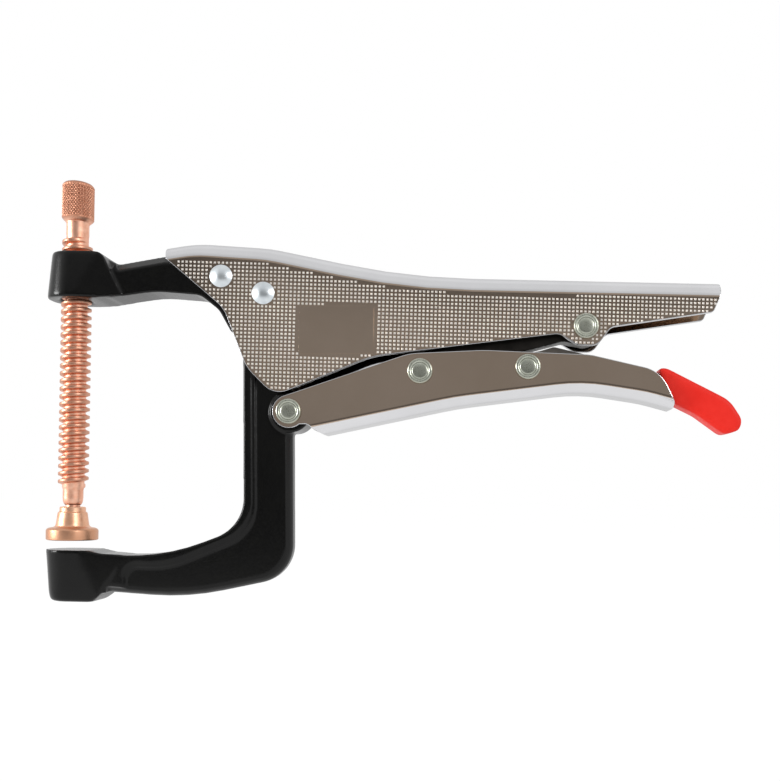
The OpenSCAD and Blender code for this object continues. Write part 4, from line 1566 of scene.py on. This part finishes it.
@dataclass
class Studio:
    """The pale floor, the soft light and the camera.

    Attributes:
        eye: Camera place in millimetres.
        yaw: Turn of the view to the right, in degrees.
        pitch: Tilt of the view upwards, in degrees.
        roll: Turn of the camera about its view, in degrees.
        lens: Focal length in millimetres on a 36 mm sensor.
        shift: Shift of the picture, as shares of its size.
        floor: Height of the floor.
        floor_size: Width of the floor in metres.
        floor_middle: Where its middle lies behind the clamp, in metres.
        floor_white: How white it looks to the camera, where one is full white.
        floor_share: Share of that white in what the camera sees; the rest takes the shadow.
        wall: Level of the wall behind the camera by the sine of the angle above the horizon.
        wall_slope: How far the wall's bands rise towards the left.
        screen: Level of the dark screen at the left.
        screen_x: Where the screen starts and where it is full, to the left.
        screen_z: Where it starts and where it is full, downwards.
        back_y: Where the wall fades into the white backdrop, away from the camera.
        side_x: Where it fades into the white backdrop at both sides.
        aim: Where the lamps point, in metres.
    """

    eye: Corner = (160.9, -339.7, 22.6)
    yaw: float = -0.254
    pitch: float = -0.058
    roll: float = 1.08
    lens: float = 40.04
    shift: Point = (-0.115, 0.14)
    floor: float = -62.0
    floor_size: float = 12.0
    floor_middle: float = 5.55
    floor_white: float = 1.04
    floor_share: float = 0.8
    wall: tuple[Point, ...] = (
        (-0.34, 0.85), (-0.3, 0.19), (0.03, 0.19), (0.05, 0.4), (0.2, 0.4), (0.217, 0.29),
        (0.224, 0.2), (0.231, 0.12), (0.26, 0.12), (0.29, 0.5), (0.75, 0.88),
    )
    wall_slope: float = 0.1
    screen: float = 0.12
    screen_x: Point = (-0.26, -0.32)
    screen_z: Point = (0.38, 0.3)
    back_y: Point = (-0.15, 0.15)
    side_x: Point = (0.45, 0.65)
    aim: Corner = (0.13, 0.0, 0.06)

    def camera(self) -> None:
        """Places the camera as the photograph was taken."""
        yaw, pitch, roll = (math.radians(a) for a in (self.yaw, self.pitch, self.roll))
        ahead = Vector((math.sin(yaw) * math.cos(pitch), math.cos(yaw) * math.cos(pitch), math.sin(pitch)))
        level = Vector((math.cos(yaw), -math.sin(yaw), 0.0))
        rise = level.cross(ahead)
        right = level * math.cos(roll) + rise * math.sin(roll)
        up = rise * math.cos(roll) - level * math.sin(roll)
        data = bpy.data.cameras.new("photo_camera")
        data.lens, data.sensor_width = self.lens, 36.0
        data.shift_x, data.shift_y = self.shift
        data.clip_start, data.clip_end = 0.01, 50.0
        made = bpy.data.objects.new("photo_camera", data)
        bpy.context.scene.collection.objects.link(made)
        turn = Matrix((right, up, -ahead)).transposed().to_4x4()
        made.matrix_world = Matrix.Translation(Vector(self.eye) * MM) @ turn
        bpy.context.scene.camera = made

    def lamp(self, name: str, place: Corner, size: float, watts: float) -> None:
        """Hangs one soft square lamp that faces the clamp.

        Args:
            name: Name of the lamp.
            place: Where it hangs, in metres.
            size: Its width in metres.
            watts: Its power.
        """
        data = bpy.data.lights.new(name, "AREA")
        data.size, data.energy = size, watts
        made = bpy.data.objects.new(name, data)
        bpy.context.scene.collection.objects.link(made)
        aim = Vector(self.aim) - Vector(place)
        made.matrix_world = Matrix.Translation(place) @ aim.to_track_quat("-Z", "Y").to_matrix().to_4x4()

    def room(self) -> None:
        """Lights the room: white backdrop round the clamp, dim wall and dark screen behind the camera."""
        world = bpy.data.worlds.new("soft_room")
        bpy.context.scene.world = world
        world.use_nodes = True
        tree = world.node_tree
        tree.nodes.clear()
        way = add_node(tree, "ShaderNodeTexCoord").outputs["Generated"]
        x, y, z = add_node(tree, "ShaderNodeSeparateXYZ", {0: way}).outputs
        left = add_node(tree, "ShaderNodeMath", {0: x, 1: 0.0}, operation="MINIMUM").outputs[0]
        across = add_node(tree, "ShaderNodeMath", {0: x}, operation="ABSOLUTE").outputs[0]
        lean = {0: left, 1: self.wall_slope, 2: z}
        sine = add_node(tree, "ShaderNodeMath", lean, operation="MULTIPLY_ADD").outputs[0]
        spans = (
            (sine, (-1.0, 1.0)),
            (left, self.screen_x),
            (z, self.screen_z),
            (y, self.back_y),
            (across, self.side_x),
        )
        faded = []
        for value, (start, end) in spans:
            links = {"Value": value, "From Min": start, "From Max": end}
            faded.append(add_node(tree, "ShaderNodeMapRange", links).outputs["Result"])
        rise, aside, below, behind, beside = faded
        stops = [(0.5 + height / 2, grey(level)) for height, level in self.wall]
        wall = add_node(tree, "ShaderNodeValToRGB", {"Fac": rise}, stops).outputs["Color"]
        dark = add_node(tree, "ShaderNodeMath", {0: aside, 1: below}, operation="MULTIPLY").outputs[0]
        screened = {0: dark, 6: wall, 7: grey(self.screen)}
        front = add_node(tree, "ShaderNodeMix", screened, data_type="RGBA").outputs[2]
        clear = add_node(tree, "ShaderNodeMath", {0: behind, 1: beside}, operation="MAXIMUM").outputs[0]
        seen = add_node(tree, "ShaderNodeLightPath").outputs["Is Camera Ray"]
        white = add_node(tree, "ShaderNodeMath", {0: seen, 1: clear}, operation="MAXIMUM").outputs[0]
        shown = add_node(tree, "ShaderNodeMix", {0: white, 6: front, 7: grey(1.0)}, data_type="RGBA")
        light = add_node(tree, "ShaderNodeBackground", {"Color": shown.outputs[2], "Strength": 1.0})
        add_node(tree, "ShaderNodeOutputWorld", {"Surface": light.outputs[0]})

    def ground(self) -> None:
        """Lays the pale floor, white to the camera except where the clamp shades it."""
        deselect()
        place = (0.0, self.floor_middle, self.floor * MM)
        bpy.ops.mesh.primitive_plane_add(size=self.floor_size, location=place)
        made = bpy.context.object
        made.name = "pale_floor"
        skin = bpy.data.materials.new("pale_floor_paint")
        skin.use_nodes = True
        tree = skin.node_tree
        tree.nodes.clear()
        matt = add_node(tree, "ShaderNodeBsdfDiffuse", {"Color": hex_colour("#f4f4f4")}).outputs[0]
        white = {"Color": grey(1.0), "Strength": self.floor_white}
        glow = add_node(tree, "ShaderNodeEmission", white).outputs[0]
        path = add_node(tree, "ShaderNodeLightPath").outputs
        seen = path["Is Camera Ray"]
        for ray in ("Is Glossy Ray", "Is Transmission Ray"):
            seen = add_node(tree, "ShaderNodeMath", {0: seen, 1: path[ray]}, operation="ADD").outputs[0]
        share = add_node(tree, "ShaderNodeMath", {0: seen, 1: self.floor_share}, operation="MULTIPLY")
        mixed = add_node(tree, "ShaderNodeMixShader", {0: share.outputs[0], 1: matt, 2: glow})
        add_node(tree, "ShaderNodeOutputMaterial", {"Surface": mixed.outputs[0]})
        made.data.materials.append(skin)

    def build(self) -> None:
        """Sets up floor, light, camera and the plain view transform."""
        self.ground()
        self.room()
        self.lamp("left_lamp", place=(-1.0, -0.5, 0.22), size=0.4, watts=9.0)
        self.lamp("right_lamp", place=(1.0, -0.9, 0.5), size=0.4, watts=4.5)
        self.camera()
        bpy.context.scene.view_settings.view_transform = "Standard"


def main() -> None:
    """Builds and dresses the whole clamp, logging each piece as it is placed."""
    logging.basicConfig(level=logging.INFO, format="%(name)s: %(message)s")
    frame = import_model()
    nodes = frame["nodes"]
    Studio().build()
    for channel in (UPPER_HANDLE, LOWER_LEVER):
        channel.finish(channel.build())
    dots = EmbossedDots()
    dots.build("near_dots", -1)
    dots.build("far_dots", 1)
    dots.patch("near_patch", -1)
    dots.patch("far_patch", 1)
    for forging in FORGINGS:
        forging.build(nodes)
    for rivet in RIVETS:
        rivet.build()
    ScrewSpindle().build()
    SwivelPad().build()
    for strip in STRIPS:
        strip.build(nodes)
    OpeningSpring().build()
    for name, finish in PLAIN_NODES.items():
        dress(nodes[name], finish)
        log.info("%s keeps its solid", name)
    deselect()


if __name__ == "__main__":
    main()
